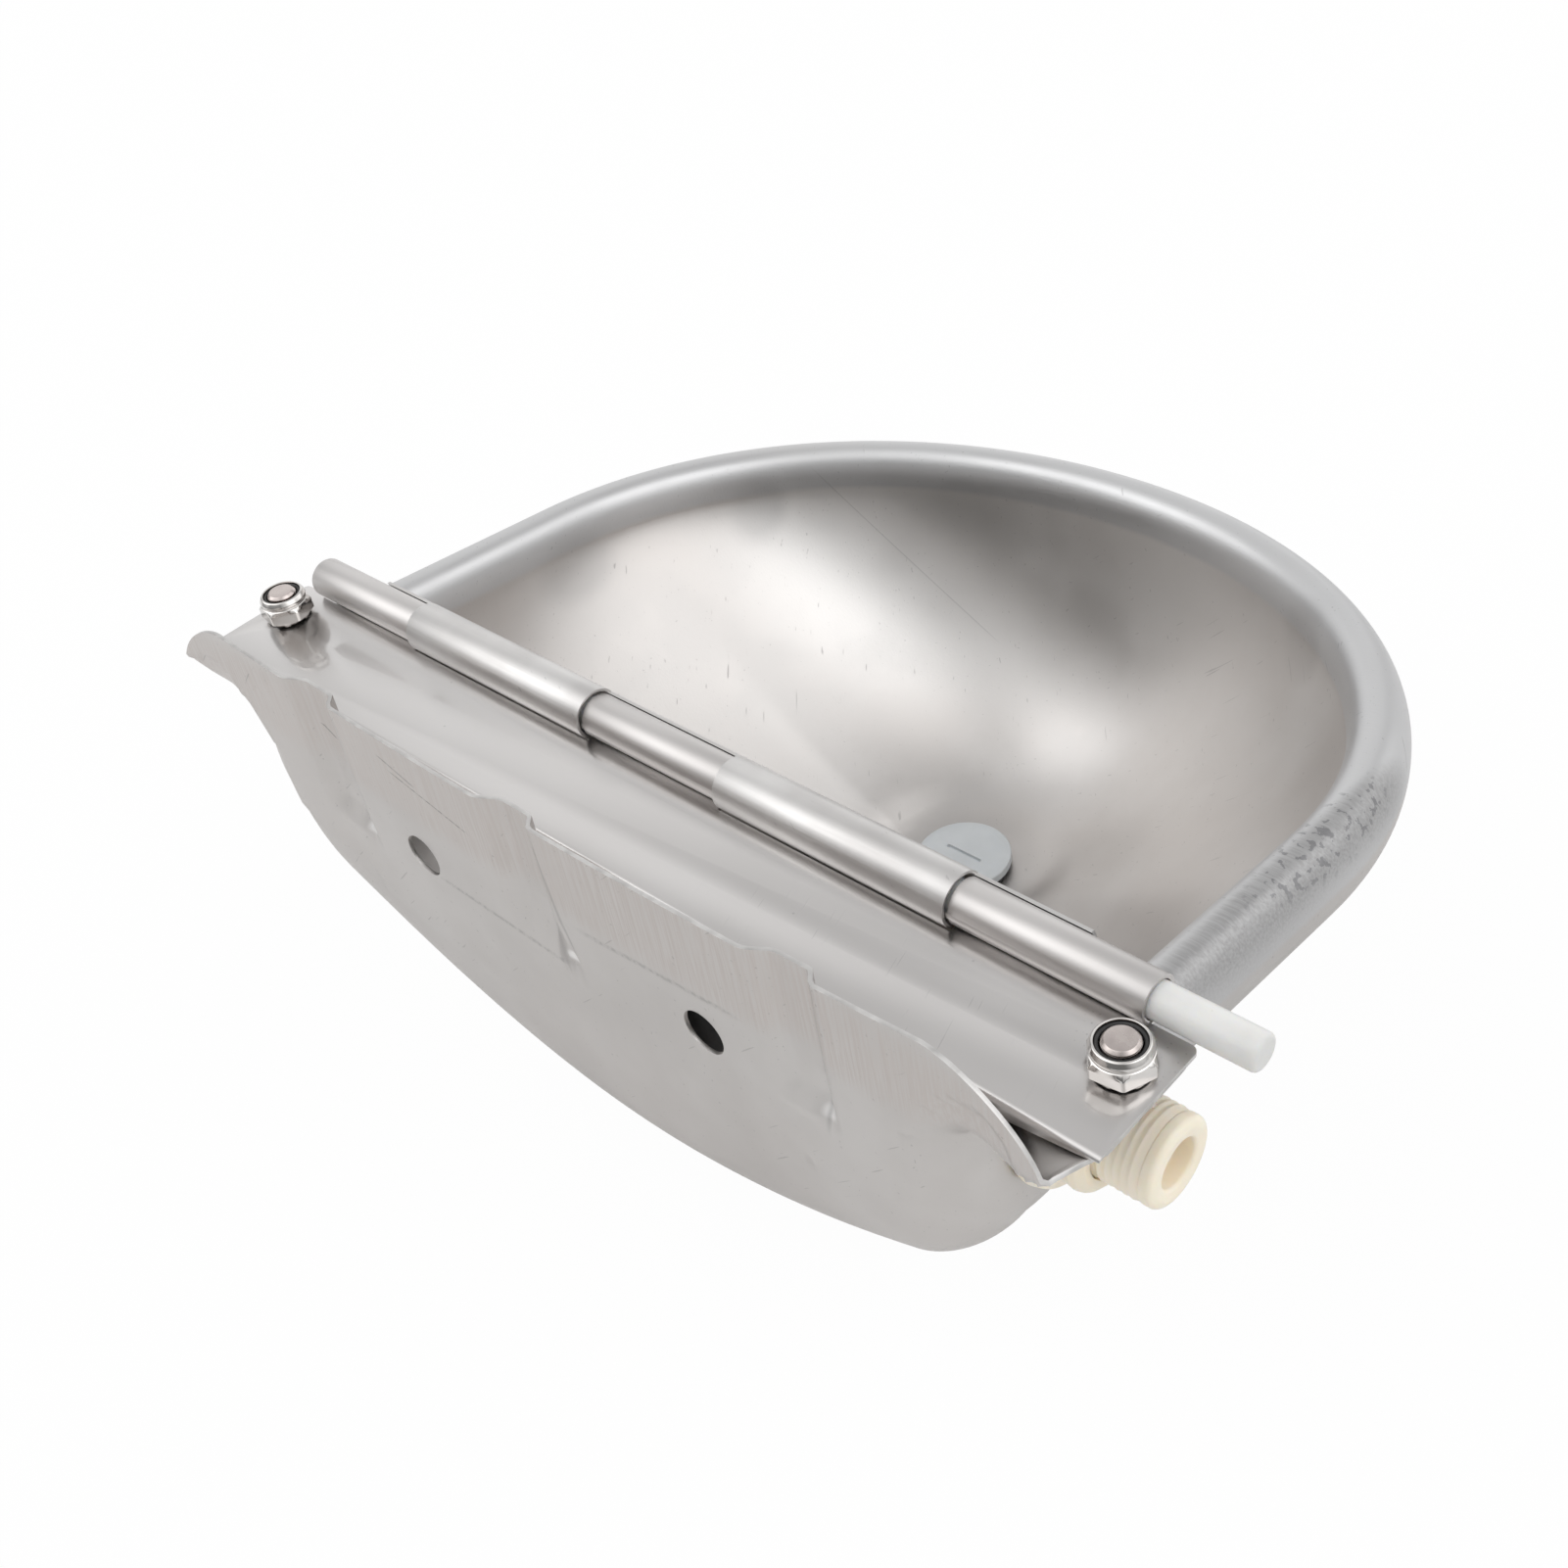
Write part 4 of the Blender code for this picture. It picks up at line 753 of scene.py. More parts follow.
def finishPiece(thing, look, body, nodes, sharp=38.0):
    if not thing.data.materials:
        thing.data.materials.append(look)
    thing.data.shade_smooth()
    thing.data.set_sharp_from_angle(angle=math.radians(sharp))
    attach(thing, body)
    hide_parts(*nodes)
    return thing


def prism(name, outline, axis, low, high):
    # A cutter: a flat closed outline carried along one axis. The outline gives the other two
    # coordinates in order.
    outline = np.asarray(outline, float)
    count = len(outline)
    points = np.zeros((2, count, 3))
    others = [k for k in range(3) if k != axis]
    for row, level in enumerate((low, high)):
        points[row][:, others[0]] = outline[:, 0]
        points[row][:, others[1]] = outline[:, 1]
        points[row][:, axis] = level
    faces = gridFaces(2, count, loopColumns=True).tolist()
    faces += [list(range(count)), list(range(count, 2 * count))]
    return weld(newThing(name, points, faces))


def block(name, low, high):
    outline = [(low[0], low[1]), (high[0], low[1]), (high[0], high[1]), (low[0], high[1])]
    return prism(name, outline, 2, low[2], high[2])


def arcPoints(middle, radius, first, last, count):
    turn = np.radians(np.linspace(first, last, count))
    return np.stack([middle[0] + radius * np.cos(turn), middle[1] + radius * np.sin(turn)], axis=1)


def roundBar(name, middle, radius, axis, low, high, sides=64):
    return prism(name, arcPoints(middle, radius, 0.0, 360.0, sides + 1)[:-1], axis, low, high)


def roundedProfile(corners):
    # Corners are (radius, height, rounding). Each rounded corner becomes an arc that touches both its sides.
    corners = [tuple(corner) + (0.0,) * (3 - len(corner)) for corner in corners]
    made = [np.array([corners[0][:2]])]
    for before, here, after in zip(corners, corners[1:], corners[2:]):
        p, q, s = (np.array(point[:2], float) for point in (before, here, after))
        if here[2] <= 0.0:
            made.append(q[None])
            continue
        a, b = (p - q) / np.linalg.norm(p - q), (s - q) / np.linalg.norm(s - q)
        half = 0.5 * math.acos(float(np.clip(a @ b, -1.0, 1.0)))
        reach = min(here[2] / math.tan(half), 0.49 * np.linalg.norm(p - q), 0.49 * np.linalg.norm(s - q))
        middle = q + (a + b) / np.linalg.norm(a + b) * reach / math.cos(half)
        t = np.linspace(0.0, 1.0, 6)[:, None]
        start, end = q + a * reach - middle, q + b * reach - middle
        spokes = start * (1.0 - t) + end * t
        spokes *= np.linalg.norm(start) / np.linalg.norm(spokes, axis=1, keepdims=True)
        made.append(middle + spokes)
    made.append(np.array([corners[-1][:2]]))
    return np.concatenate(made)


def closedProfile(corners):
    # The same for a ring's profile, which comes back to its first corner.
    return roundedProfile(corners + corners[:1])[:-1]


def turnedThing(name, profile, centre, axis, sides=96, hexagon=None, closed=False):
    # A profile of (radius, height) carried round an axis. With a hexagon (across flats, first corner's angle,
    # corner rounding), no point lies further out than the hexagon's side in that direction.
    profile = np.asarray(profile, float)
    turn = np.linspace(0.0, 2.0 * math.pi, sides, endpoint=False)
    radius = np.repeat(profile[:, :1], sides, axis=1)
    if hexagon:
        flats, corner, rounding = hexagon
        off = np.mod(turn - math.radians(corner), math.pi / 3.0) - math.pi / 6.0
        limit = np.minimum(0.5 * flats / np.cos(off), flats / math.sqrt(3.0) - rounding)
        radius = np.minimum(radius, limit[None, :])
    height = np.repeat(profile[:, 1:2], sides, axis=1)
    first, second = radius * np.cos(turn), radius * np.sin(turn)
    points = np.zeros(radius.shape + (3,))
    if axis == 2:
        points[..., 0], points[..., 1], points[..., 2] = centre[0] + first, centre[1] + second, height
    else:
        points[..., 0], points[..., 1], points[..., 2] = height, centre[0] + first, centre[1] + second
    faces = gridFaces(len(profile), sides, loopRows=closed, loopColumns=True)
    return weld(newThing(name, points, faces))


bowl = {
    "sheet": 1.0,
    "halfWidth": 123.0,
    "cornerRadius": 18.0,
    "sideStraightTo": 115.0,
    "front": 225.6,
    "frontPower": 2.04,
    "wallTop": 33.0,
    "rimFall": 0.12,
    "rimFallFrom": 30.0,
    "floorLevel": -64.8,
    "plugOut": 143.0,
    "depths": (99.0, 54.0, 78.0),
    "backPowers": (10.0, 4.2),
    "sidePowers": (1.95, 1.4),
    "frontPowers": (3.0, 2.0),
    "roundness": 5.0,
    "rounding": 6.0,
    "drainHole": 7.6,
    "floorFlat": 17.0,
    "floorBlend": 16.0,
    "rollHalfWidth": 7.6,
    "rollHeight": 12.2,
    "rollEnd": -60.0,
    "rollSquareness": 2.7,
    "flangeLevel": 43.7,
    "fillet": 3.0,
    "ends": {1.0: {"bend": 10.0, "cornerHalf": 148.5}, -1.0: {"bend": 3.0, "cornerHalf": 144.0}},
    "flangeHalfWidth": 148.5,
    "flangeTo": 38.0,
    "flangeFade": 20.0,
    "flangeEase": 4.9,
    "flangeGrow": 12.0,
    "cornerDip": 6.0,
    "cornerDipFrom": 18.0,
    "cornerDipFade": 5.0,
    "edgeMiddle": 60.5,
    "edgeRise": 5.2,
    "straightHalf": 118.0,
    "endPower": 1.6,
    "ribMargin": 1.1,
    "ribs": (-80.5, 5.0, 80.5),
    "ribHalfWidth": 10.5,
    "ribFlats": (0.62, 0.2),
    "ribDepth": 3.2,
    "ribFoot": 20.0,
    "ribFade": 5.0,
    "dents": ((73.2, 20.3), (-6.6, 20.7), (-87.3, 21.8)),
    "dentDepth": 1.7,
    "wallHoles": ((-52.0, 25.0), (48.0, 25.0)),
    "wallHoleRadius": 6.0,
    "boltPlaces": (-140.0, 140.0),
    "boltOut": 30.4,
    "boltHole": 4.5,
    "inlet": (32.4, 22.5),
    "inletHole": 10.7,
    "cutDepth": 6.0,
    "softening": (0.14, 55.0),
    "inletPad": (19.5, 14.0),
}


def wallTopLevel(out):
    return bowl["wallTop"] - bowl["rimFall"] * np.clip(out - bowl["rimFallFrom"], 0.0, None)


def plateEdgeLevel(x):
    return bowl["edgeMiddle"] + bowl["edgeRise"] * np.clip(np.abs(x) / bowl["straightHalf"], 0.0, 1.0) ** 2


def bowlOutline():
    # Half of the wall's top line as (x, out): straight back, quarter circle, straight side, then a
    # superellipse round the front, with its points spaced evenly along it.
    b = bowl
    start = b["halfWidth"] - b["cornerRadius"]
    corner = np.linspace(0.0, math.pi / 2.0, 19)
    cornerEnd = b["sheet"] + b["cornerRadius"]
    backX = np.linspace(0.0, start, 91)[:-1]
    back = np.stack([backX, np.full(90, b["sheet"])], axis=1)
    bendOut = b["sheet"] + b["cornerRadius"] * (1.0 - np.cos(corner))
    bend = np.stack([start + b["cornerRadius"] * np.sin(corner), bendOut], axis=1)
    near, far = np.linspace(cornerEnd, 60.0, 34), np.linspace(60.0, b["sideStraightTo"], 20)
    sideOut = np.concatenate([near[1:], far[1:]])
    side = np.stack([np.full(len(sideOut), b["halfWidth"]), sideOut], axis=1)
    turn = np.linspace(0.0, math.pi / 2.0, 600)
    power = 2.0 / b["frontPower"]
    frontOut = b["sideStraightTo"] + (b["front"] - b["sideStraightTo"]) * np.sin(turn) ** power
    front = np.stack([b["halfWidth"] * np.cos(turn) ** power, frontOut], axis=1)
    along = np.concatenate([[0.0], np.cumsum(np.linalg.norm(np.diff(front, axis=0), axis=1))])
    even = np.linspace(0.0, along[-1], 66)[1:]
    front = np.stack([np.interp(even, along, front[:, k]) for k in range(2)], axis=1)
    front[-1, 0] = 0.0
    return np.concatenate([back, bend, side, front]), len(back), len(corner)


def bent(x, flat, bend):
    # A point of the flat end flange, carried up round the bend into the plate where it lies
    # behind the bend.
    inner = bend - bowl["sheet"]
    run = np.clip(bend - flat, 0.0, None)
    angle = np.minimum(run / inner, math.pi / 2.0)
    up = np.clip(run - inner * math.pi / 2.0, 0.0, None)
    out = np.where(run > 0.0, bend - inner * np.sin(angle), flat)
    return np.stack([x, out, bowl["flangeLevel"] + inner * (1.0 - np.cos(angle)) + up], axis=-1)


def flangeSheet(half, edge, phase, bend):
    # From the wall's top, a fillet and then a straight run to the sheet's edge, laid flat and bent up
    # into the plate. The phase runs 0 to 8: a short rise, the fillet from 1 to 3, and the run to 8.
    b = bowl
    away = edge - half
    away = away / np.linalg.norm(away, axis=1, keepdims=True)
    turn = np.clip((phase - 1.0) / 2.0, 0.0, 1.0) * math.pi / 2.0
    reach = b["fillet"] * (1.0 - np.cos(turn))
    plan = half[None] + reach[:, None, None] * away[None]
    level = b["flangeLevel"] - b["fillet"] * (1.0 - np.sin(turn))
    level = np.broadcast_to(level[:, None], plan.shape[:2]).copy()
    foot = np.clip(phase, 0.0, 1.0)[:, None]
    level = wallTopLevel(half[None, :, 1]) * (1.0 - foot) + level * foot
    run = np.clip((phase - 3.0) / 5.0, 0.0, 1.0)[:, None, None]
    plan = plan + run * (edge[None] - plan)
    flat = np.concatenate([plan, level[..., None]], axis=-1)
    lifted = bent(plan[..., 0], plan[..., 1], bend)
    flat = np.where(phase[:, None, None] > 3.0, lifted, flat)
    endPoint = bent(edge[:, 0], edge[:, 1], bend)
    startPoint = np.concatenate([half, wallTopLevel(half[:, 1:2])], axis=1)
    share = (phase / 8.0)[:, None, None]
    straight = startPoint[None] + share * (endPoint - startPoint)[None]
    toward = stepUp((half[:, 1] - b["sheet"]) / b["cornerRadius"])
    past = stepUp((half[:, 1] - b["cornerDipFrom"]) / b["cornerDipFade"])
    dip = b["cornerDip"] * toward * (1.0 - past)
    flat[..., 2] -= dip[None] * np.sin(math.pi * share[..., 0]) ** 0.8
    return toward[None, :, None] * flat + (1.0 - toward)[None, :, None] * straight


def rolledRim(half, share):
    # An oval carried along the wall's top: from the wall over and down outside. Its inner quarter is
    # squarer, so that the rim breaks off from the wall in a tight bend: cos and sin to the power 2/n
    # there, with n the squareness.
    b = bowl
    along = np.gradient(half, axis=0)
    along[-1] = (-1.0, 0.0)
    along /= np.linalg.norm(along, axis=1, keepdims=True)
    outward = np.stack([along[:, 1], -along[:, 0]], axis=1)
    turn = math.pi + share * (math.radians(b["rollEnd"]) - math.pi)
    power = np.where(turn > math.pi / 2.0, 2.0 / b["rollSquareness"], 1.0)
    side = np.sign(np.cos(turn)) * np.abs(np.cos(turn)) ** power
    rise = np.sign(np.sin(turn)) * np.abs(np.sin(turn)) ** power
    plan = half[None] + (b["rollHalfWidth"] * (1.0 + side))[:, None, None] * outward[None]
    level = wallTopLevel(half[None, :, 1]) + b["rollHeight"] * rise[:, None]
    return np.concatenate([plan, level[..., None]], axis=-1)


def bowlApron(half, backCount, cornerCount, end):
    # All that lies above the wall's top: the plate at the back, straight up from the wall, then the
    # end flange, and the rolled rim that the flange blends into further out.
    b = bowl
    bend, cornerHalf = end["bend"], end["cornerHalf"]
    share = np.linspace(0.0, 1.0, 41)
    phase = share * 8.0
    edgeFlat = bend - (bend - b["sheet"]) * math.pi / 2.0
    edgeFlat -= plateEdgeLevel(b["straightHalf"]) - b["flangeLevel"] - (bend - b["sheet"])
    turn = np.clip((np.arange(len(half)) - backCount) / (cornerCount - 1.0), 0.0, 1.0) * math.pi / 2.0
    power = 2.0 / b["endPower"]
    edgeX = b["straightHalf"] + (cornerHalf - b["straightHalf"]) * np.sin(turn) ** power
    edgeY = bend + (edgeFlat - bend) * np.clip(np.cos(turn), 0.0, 1.0) ** power
    cornerEnd = b["sheet"] + b["cornerRadius"]
    past, far = cornerEnd + b["flangeEase"], 2.0 * b["front"]
    later = np.interp(half[:, 1], [cornerEnd, past, far], [bend + 0.3, past, far])
    edgeY = np.where(turn >= math.pi / 2.0 - 1e-6, later, edgeY)
    edgeX += (b["flangeHalfWidth"] - cornerHalf) * stepUp((edgeY - bend) / b["flangeGrow"]) * (turn > 1.5)
    flange = flangeSheet(half, np.stack([edgeX, edgeY], axis=1), phase, bend)
    rib = b["ribs"][2] + b["ribMargin"] * b["ribHalfWidth"]
    straightTo = b["halfWidth"] - b["cornerRadius"]
    grow = np.clip((half[:, 0] - rib) / (straightTo - rib), 0.0, 1.0)
    plateX = half[:, 0] + grow * (b["straightHalf"] - straightTo)
    low = np.stack([half[:, 0], half[:, 1], np.full(len(half), b["wallTop"])], axis=1)
    high = np.stack([plateX, np.full(len(half), b["sheet"]), plateEdgeLevel(plateX)], axis=1)
    plate = low[None] + share[:, None, None] * (high - low)[None]
    onBack = (np.arange(len(half)) < backCount)[None, :, None]
    keep = (1.0 - stepUp((half[:, 1] - b["flangeTo"]) / b["flangeFade"]))[None, :, None]
    rim = rolledRim(half, share)
    return np.where(onBack, plate, keep * flange + (1.0 - keep) * rim)


def bowlBody(half, turns):
    # Below the wall's top the body is a dish: along each direction from the drain, run = sin(turn)^(2/p)
    # of the way out and depth times cos(turn)^(2/q), with depth and powers mixed from those of the
    # back, side and front.
    b = bowl
    middle = np.array([0.0, b["plugOut"]])
    offset = half - middle
    radius = np.linalg.norm(offset, axis=1)
    sideShare, frontShare = offset[:, 0] / radius, offset[:, 1] / radius
    reach = np.where(frontShare < 0.0, b["plugOut"] - b["sheet"], b["front"] - b["plugOut"])
    power = b["roundness"]
    oval = np.abs(sideShare / b["halfWidth"]) ** power + np.abs(frontShare / reach) ** power
    oval = np.minimum(oval ** (-1.0 / power), radius)
    back, front = np.clip(-frontShare, 0.0, 1.0) ** 2, np.clip(frontShare, 0.0, 1.0) ** 2
    weights = (back, 1.0 - back - front, front)

    def mixed(values):
        return sum(weight * value for weight, value in zip(weights, values))

    depthEdge = mixed(b["depths"])
    pairs = (b["backPowers"], b["sidePowers"], b["frontPowers"])
    powers = [mixed([pair[k] for pair in pairs]) for k in range(2)]
    middleDepth = wallTopLevel(b["plugOut"]) - b["floorLevel"]
    turns = np.radians(turns)[:, None]
    run = np.sin(turns) ** (2.0 / powers[0])[None]
    drop = np.cos(turns) ** (2.0 / powers[1])[None]
    near = run ** b["rounding"]
    here = run * (radius[None] * near + oval[None] * (1.0 - near))
    here = np.maximum(here, b["floorFlat"] * (1.0 + 0.7 * turns))
    rings = np.linspace(b["drainHole"], b["floorFlat"], 3)[:, None] * np.ones((1, len(half)))
    plan = middle + np.concatenate([rings, here])[..., None] * (offset / radius[:, None])[None]
    depth = middleDepth + (depthEdge[None] - middleDepth) * run ** 2
    level = wallTopLevel(plan[3:, :, 1]) - depth * drop
    blend = stepUp((here - b["floorFlat"]) / b["floorBlend"])
    level = b["floorLevel"] + blend * (level - b["floorLevel"])
    level = np.concatenate([np.full((3, len(half)), b["floorLevel"]), level])
    return np.concatenate([plan, level[..., None]], axis=-1)


def bowlHalf(end):
    # The dish from its floor up, then all that lies above the wall's top, and a flat pad round the inlet.
    b = bowl
    half, backCount, cornerCount = bowlOutline()
    turns = np.concatenate([np.linspace(10.0, 84.0, 38), np.linspace(85.0, 89.0, 5)])
    grid = np.concatenate([bowlBody(half, turns), bowlApron(half, backCount, cornerCount, end)])
    x, out, level = grid[..., 0], grid[..., 1], grid[..., 2]
    far = np.hypot(out - b["inlet"][0], level - b["inlet"][1])
    flat = 1.0 - stepUp((far - b["inletPad"][0]) / b["inletPad"][1])
    inside = (x > 0.8 * b["halfWidth"]) & (x < b["halfWidth"])
    grid[..., 0] = np.where(inside, x + flat * (b["halfWidth"] - x), x)
    grid[..., 1] = np.where(out < b["sheet"] + 0.6, b["sheet"], out)
    return grid


def ribShape(across):
    # A flat top, a soft flank on the right (+) and a steeper one on the left (-).
    left, right = bowl["ribFlats"]
    start = np.where(across > 0.0, right, left)
    return 1.0 - stepUp((np.abs(across) - start) / (1.0 - start))


def bowlGrid():
    # Both halves side by side, then the ribs pressed into the plate and a small dent at each rib's foot.
    b = bowl
    other = bowlHalf(b["ends"][-1.0])[:, -2:0:-1]
    other[..., 0] *= -1.0
    whole = np.concatenate([bowlHalf(b["ends"][1.0]), other], axis=1)
    x, out, level = whole[..., 0], whole[..., 1], whole[..., 2]
    onPlate = stepUp(1.0 - (out - b["sheet"]) / 4.0)
    up = stepUp((level - b["ribFoot"]) / b["ribFade"])
    push = sum(ribShape((x - place) / b["ribHalfWidth"]) for place in b["ribs"])
    dent = sum(stepUp(1.0 - np.hypot(x - place, (level - high) * 0.6) / 5.0) for place, high in b["dents"])
    whole[..., 1] = -(out + (b["ribDepth"] * push * up + b["dentDepth"] * dent) * onPlate)
    return whole[:, ::-1]


def makeBowl():
    grid = bowlGrid()
    thing = newThing("bowlSheet", grid, gridFaces(*grid.shape[:2], loopColumns=True)[:, ::-1])
    b = bowl
    thicken(thing, b["sheet"], -1.0, bowlSteel)
    deep, level, side = b["cutDepth"], b["flangeLevel"], -b["halfWidth"]
    cutters = [roundBar("wallHole", place, b["wallHoleRadius"], 1, -deep, deep) for place in b["wallHoles"]]
    for x in b["boltPlaces"]:
        centre = (x, -b["boltOut"])
        cutters.append(roundBar("boltHole", centre, b["boltHole"], 2, level - deep, level + deep))
    centre = (-b["inlet"][0], b["inlet"][1])
    cutters.append(roundBar("inletHole", centre, b["inletHole"], 0, side - deep, side + deep))
    carve(thing, cutters, *b["softening"])
    return finishPiece(thing, bowlSteel, "base", ["bowl_shell"], 50.0)


bowlSheet = makeBowl()
print("bowl", len(bowlSheet.data.polygons))


cover = {
    "top": 45.0,
    "sheet": 1.0,
    "halfWidth": 149.0,
    "rear": 10.1,
    "lip": 4.5,
    "lipHalf": 126.0,
    "cornerOut": 42.8,
    "cornerRound": 1.8,
    "hingeOut": 45.3,
    "curl": 5.5,
    "ends": (-138.0, 139.5),
    "gaps": ((-90.3, -21.5), (24.2, 94.5)),
    "slot": 0.6,
}

baffle = {
    "sheet": 0.8,
    "curl": 6.6,
    "curlEnd": 255.0,
    "ends": (-119.0, 116.5),
    "top": 3.2,
    "bottom": -8.0,
    "cornerRound": 25.0,
    "seamGap": 0.6,
}

hingeLevel = cover["top"] - cover["sheet"] + cover["curl"]


def sweptSheet(name, profile, ends):
    # The profile, (out, level) points, carried along x.
    profile = np.asarray(profile)
    grid = np.zeros((len(profile), 2, 3))
    grid[..., 1] = -profile[:, None, 0]
    grid[..., 2] = profile[:, None, 1]
    grid[..., 0] = np.array(ends)[None]
    return newThing(name, grid, gridFaces(len(profile), 2)[:, ::-1])


def cornerTrim(side, out, rounding):
    # What is cut from a square corner to round it.
    c = cover
    x = side * c["halfWidth"]
    middle = (x - side * rounding, -(out - rounding))
    arc = arcPoints(middle, rounding, 0.0 if side > 0.0 else 180.0, -90.0 if side > 0.0 else 270.0, 9)
    beyond = [(x - side * rounding, -out - 2.0), (x + side * 2.0, -out - 2.0)]
    outline = np.concatenate([[(x + side * 2.0, middle[1])], arc, beyond])
    return prism("cornerTrim", outline, 2, c["top"] - 8.0, c["top"] + 8.0)


def makeCover():
    c = cover
    middle = (c["hingeOut"], hingeLevel)
    low = c["top"] - c["sheet"]
    last = 180.0 + math.degrees(math.asin((hingeLevel - c["top"] - 0.3) / c["curl"]))
    rear = c["rear"] + c["sheet"]
    fold = arcPoints((rear + 0.6, low - 0.6), 0.6, 180.0, 90.0, 6)
    curl = arcPoints(middle, c["curl"], -90.0, last, 60)
    profile = np.concatenate([[(rear, c["top"] - c["lip"])], fold, curl])
    thing = sweptSheet("coverSheet", profile, (-c["halfWidth"], c["halfWidth"]))
    thicken(thing, c["sheet"], 1.0, coverSteel)
    reach = math.sqrt(baffle["curl"] ** 2 - (hingeLevel - c["top"]) ** 2) + c["slot"]
    front, high, far = -c["hingeOut"] - 12.0, hingeLevel + 10.0, c["halfWidth"] + 5.0
    cutters = []
    for first, end in c["gaps"]:
        cutters.append(block("gap", (first, front, low - 9.0), (end, -c["hingeOut"] + reach, high)))
    for first, end in ((-far, c["ends"][0]), (c["ends"][1], far)):
        cutters.append(block("endGap", (first, front, low - 9.0), (end, -c["cornerOut"], high)))
        cutters.append(block("curlGap", (first, front, c["top"] + 0.15), (end, -c["hingeOut"] + 12.0, high)))
    for side in (-1.0, 1.0):
        start, end = side * c["lipHalf"], side * (c["halfWidth"] + 1.0)
        bottom = c["top"] - c["lip"]
        outline = [(start, bottom), (end, low + 0.3), (end, bottom - 3.0), (start, bottom - 3.0)]
        cutters.append(prism("lipWedge", outline, 1, -c["rear"] - 3.0, -c["rear"] + 3.0))
        centre = (side * bowl["boltPlaces"][1], -bowl["boltOut"])
        cutters.append(roundBar("coverHole", centre, bowl["boltHole"], 2, c["top"] - 6.0, c["top"] + 6.0))
        cutters.append(cornerTrim(side, c["cornerOut"], c["cornerRound"]))
    carve(thing, cutters, 0.13)
    return finishPiece(thing, coverSteel, "base", ["cover_plate"])


def makeBaffle():
    k = baffle
    middle = (cover["hingeOut"], hingeLevel)
    foot = (cover["hingeOut"] + k["curl"], k["bottom"])
    profile = np.concatenate([arcPoints(middle, k["curl"], k["curlEnd"], 0.0, 60), [foot]])
    left, right = k["ends"]
    thing = sweptSheet("baffleSheet", profile, (right, left))
    thicken(thing, k["sheet"], 1.0, baffleSteel)
    hinge, around, seam = -cover["hingeOut"], 1.5 * k["curl"], k["seamGap"]
    front, rear, low, high = hinge - 0.7 * k["curl"], hinge + around, hingeLevel - around, hingeLevel + around
    (a, b), (c, d) = cover["gaps"]
    spans = [(left - 2.0, a + seam), (b - seam, c + seam), (d - seam, right + 2.0)]
    cutters = [block("curlGap", (first, front, low), (end, rear, high)) for first, end in spans]
    for first, end in spans:
        cutters.append(block("curlTop", (first, hinge - around, hingeLevel + k["top"]), (end, rear, high)))
    level = k["bottom"] + k["cornerRound"]
    outline = np.concatenate([
        [(right + 2.0, level)],
        arcPoints((right - k["cornerRound"], level), k["cornerRound"], 0.0, -90.0, 17),
        arcPoints((left + k["cornerRound"], level), k["cornerRound"], -90.0, -180.0, 17),
        [(left - 2.0, level), (left - 2.0, k["bottom"] - 2.0), (right + 2.0, k["bottom"] - 2.0)],
    ])
    face = hinge - k["curl"]
    cutters.append(prism("cornerScrap", outline, 1, face - 3.0, face + 3.0))
    carve(thing, cutters, 0.10)
    return finishPiece(thing, baffleSteel, "baffle_body", ["baffle"])


rod = {"radius": 4.2, "ends": (-161.4, 136.0), "round": 1.1, "wobble": 0.05}


def makeRod():
    # A turned rod whose radius wanders a little along its length, as an extruded plastic rod's does.
    (low, high), r, edge = rod["ends"], rod["radius"], rod["round"]
    profile = roundedProfile([(0.0, low), (r, low, edge), (r, high, edge), (0.0, high)])
    place = np.linspace(low + 2.0, high - 2.0, 60)
    body = np.stack([r + rod["wobble"] * np.sin(place / 7.0) * np.cos(place / 19.0), place], axis=1)
    cut = int(np.argmax(profile[:, 1] > 0.0))
    profile = np.concatenate([profile[:cut], body, profile[cut:]])
    return turnedThing("hingeRod", profile, (-cover["hingeOut"], hingeLevel), 0, 72)


coverSheet = makeCover()
baffleSheet = makeBaffle()
hingeRod = finishPiece(makeRod(), rodPlastic, "pin_body", ["hinge_pin"])
print("cover, baffle and rod")


nut = {
    "flats": 13.0,
    "turns": {"left": 7.0, "right": -8.0},
    "places": {"left": -140.0, "right": 140.0},
    "low": 45.3,
    "boltTip": 53.6,
    "headTop": 42.4,
    "headHeight": 4.4,
    "seat": 51.0,
    "cornerRound": 0.18,
}


def boltCentre(tag):
    return nut["places"][tag], -bowl["boltOut"]


def threadRows(radius, depth, pitch, low, high):
    # Rows of a ringed thread: the radius swings between crest and root once a pitch.
    level = np.linspace(low, high, max(int((high - low) / pitch * 8), 8))
    swing = 0.5 + 0.5 * np.cos(2.0 * math.pi * (level - low) / pitch)
    return np.stack([radius - depth * swing ** 0.8, level], axis=1)


def makeNut(tag):
    n = nut
    z = n["low"]
    profile = closedProfile([
        (4.3, z + 5.0), (4.3, z + 0.3, 0.1), (4.6, z, 0.05), (5.9, z, 0.1),
        (8.4, z + 1.45, 0.1), (8.4, z + 4.0, 0.1),
        (6.45, z + 5.12, 0.15), (6.18, z + 5.3, 0.15), (6.18, z + 5.62, 0.12),
        (6.42, z + 5.86, 0.25), (6.38, z + 6.55, 0.6), (5.75, z + 7.62, 0.6),
        (5.28, z + 7.8, 0.15), (5.16, z + 7.45, 0.1), (5.3, z + 7.2),
        (5.3, z + 5.7, 0.05), (4.3, z + 5.7),
    ])
    hexagon = (n["flats"], n["turns"][tag], n["cornerRound"])
    thing = turnedThing("lockNut." + tag, profile, boltCentre(tag), 2, 144, hexagon, closed=True)
    return finishPiece(thing, nutSteel, "base", ["lock_nut_" + tag])


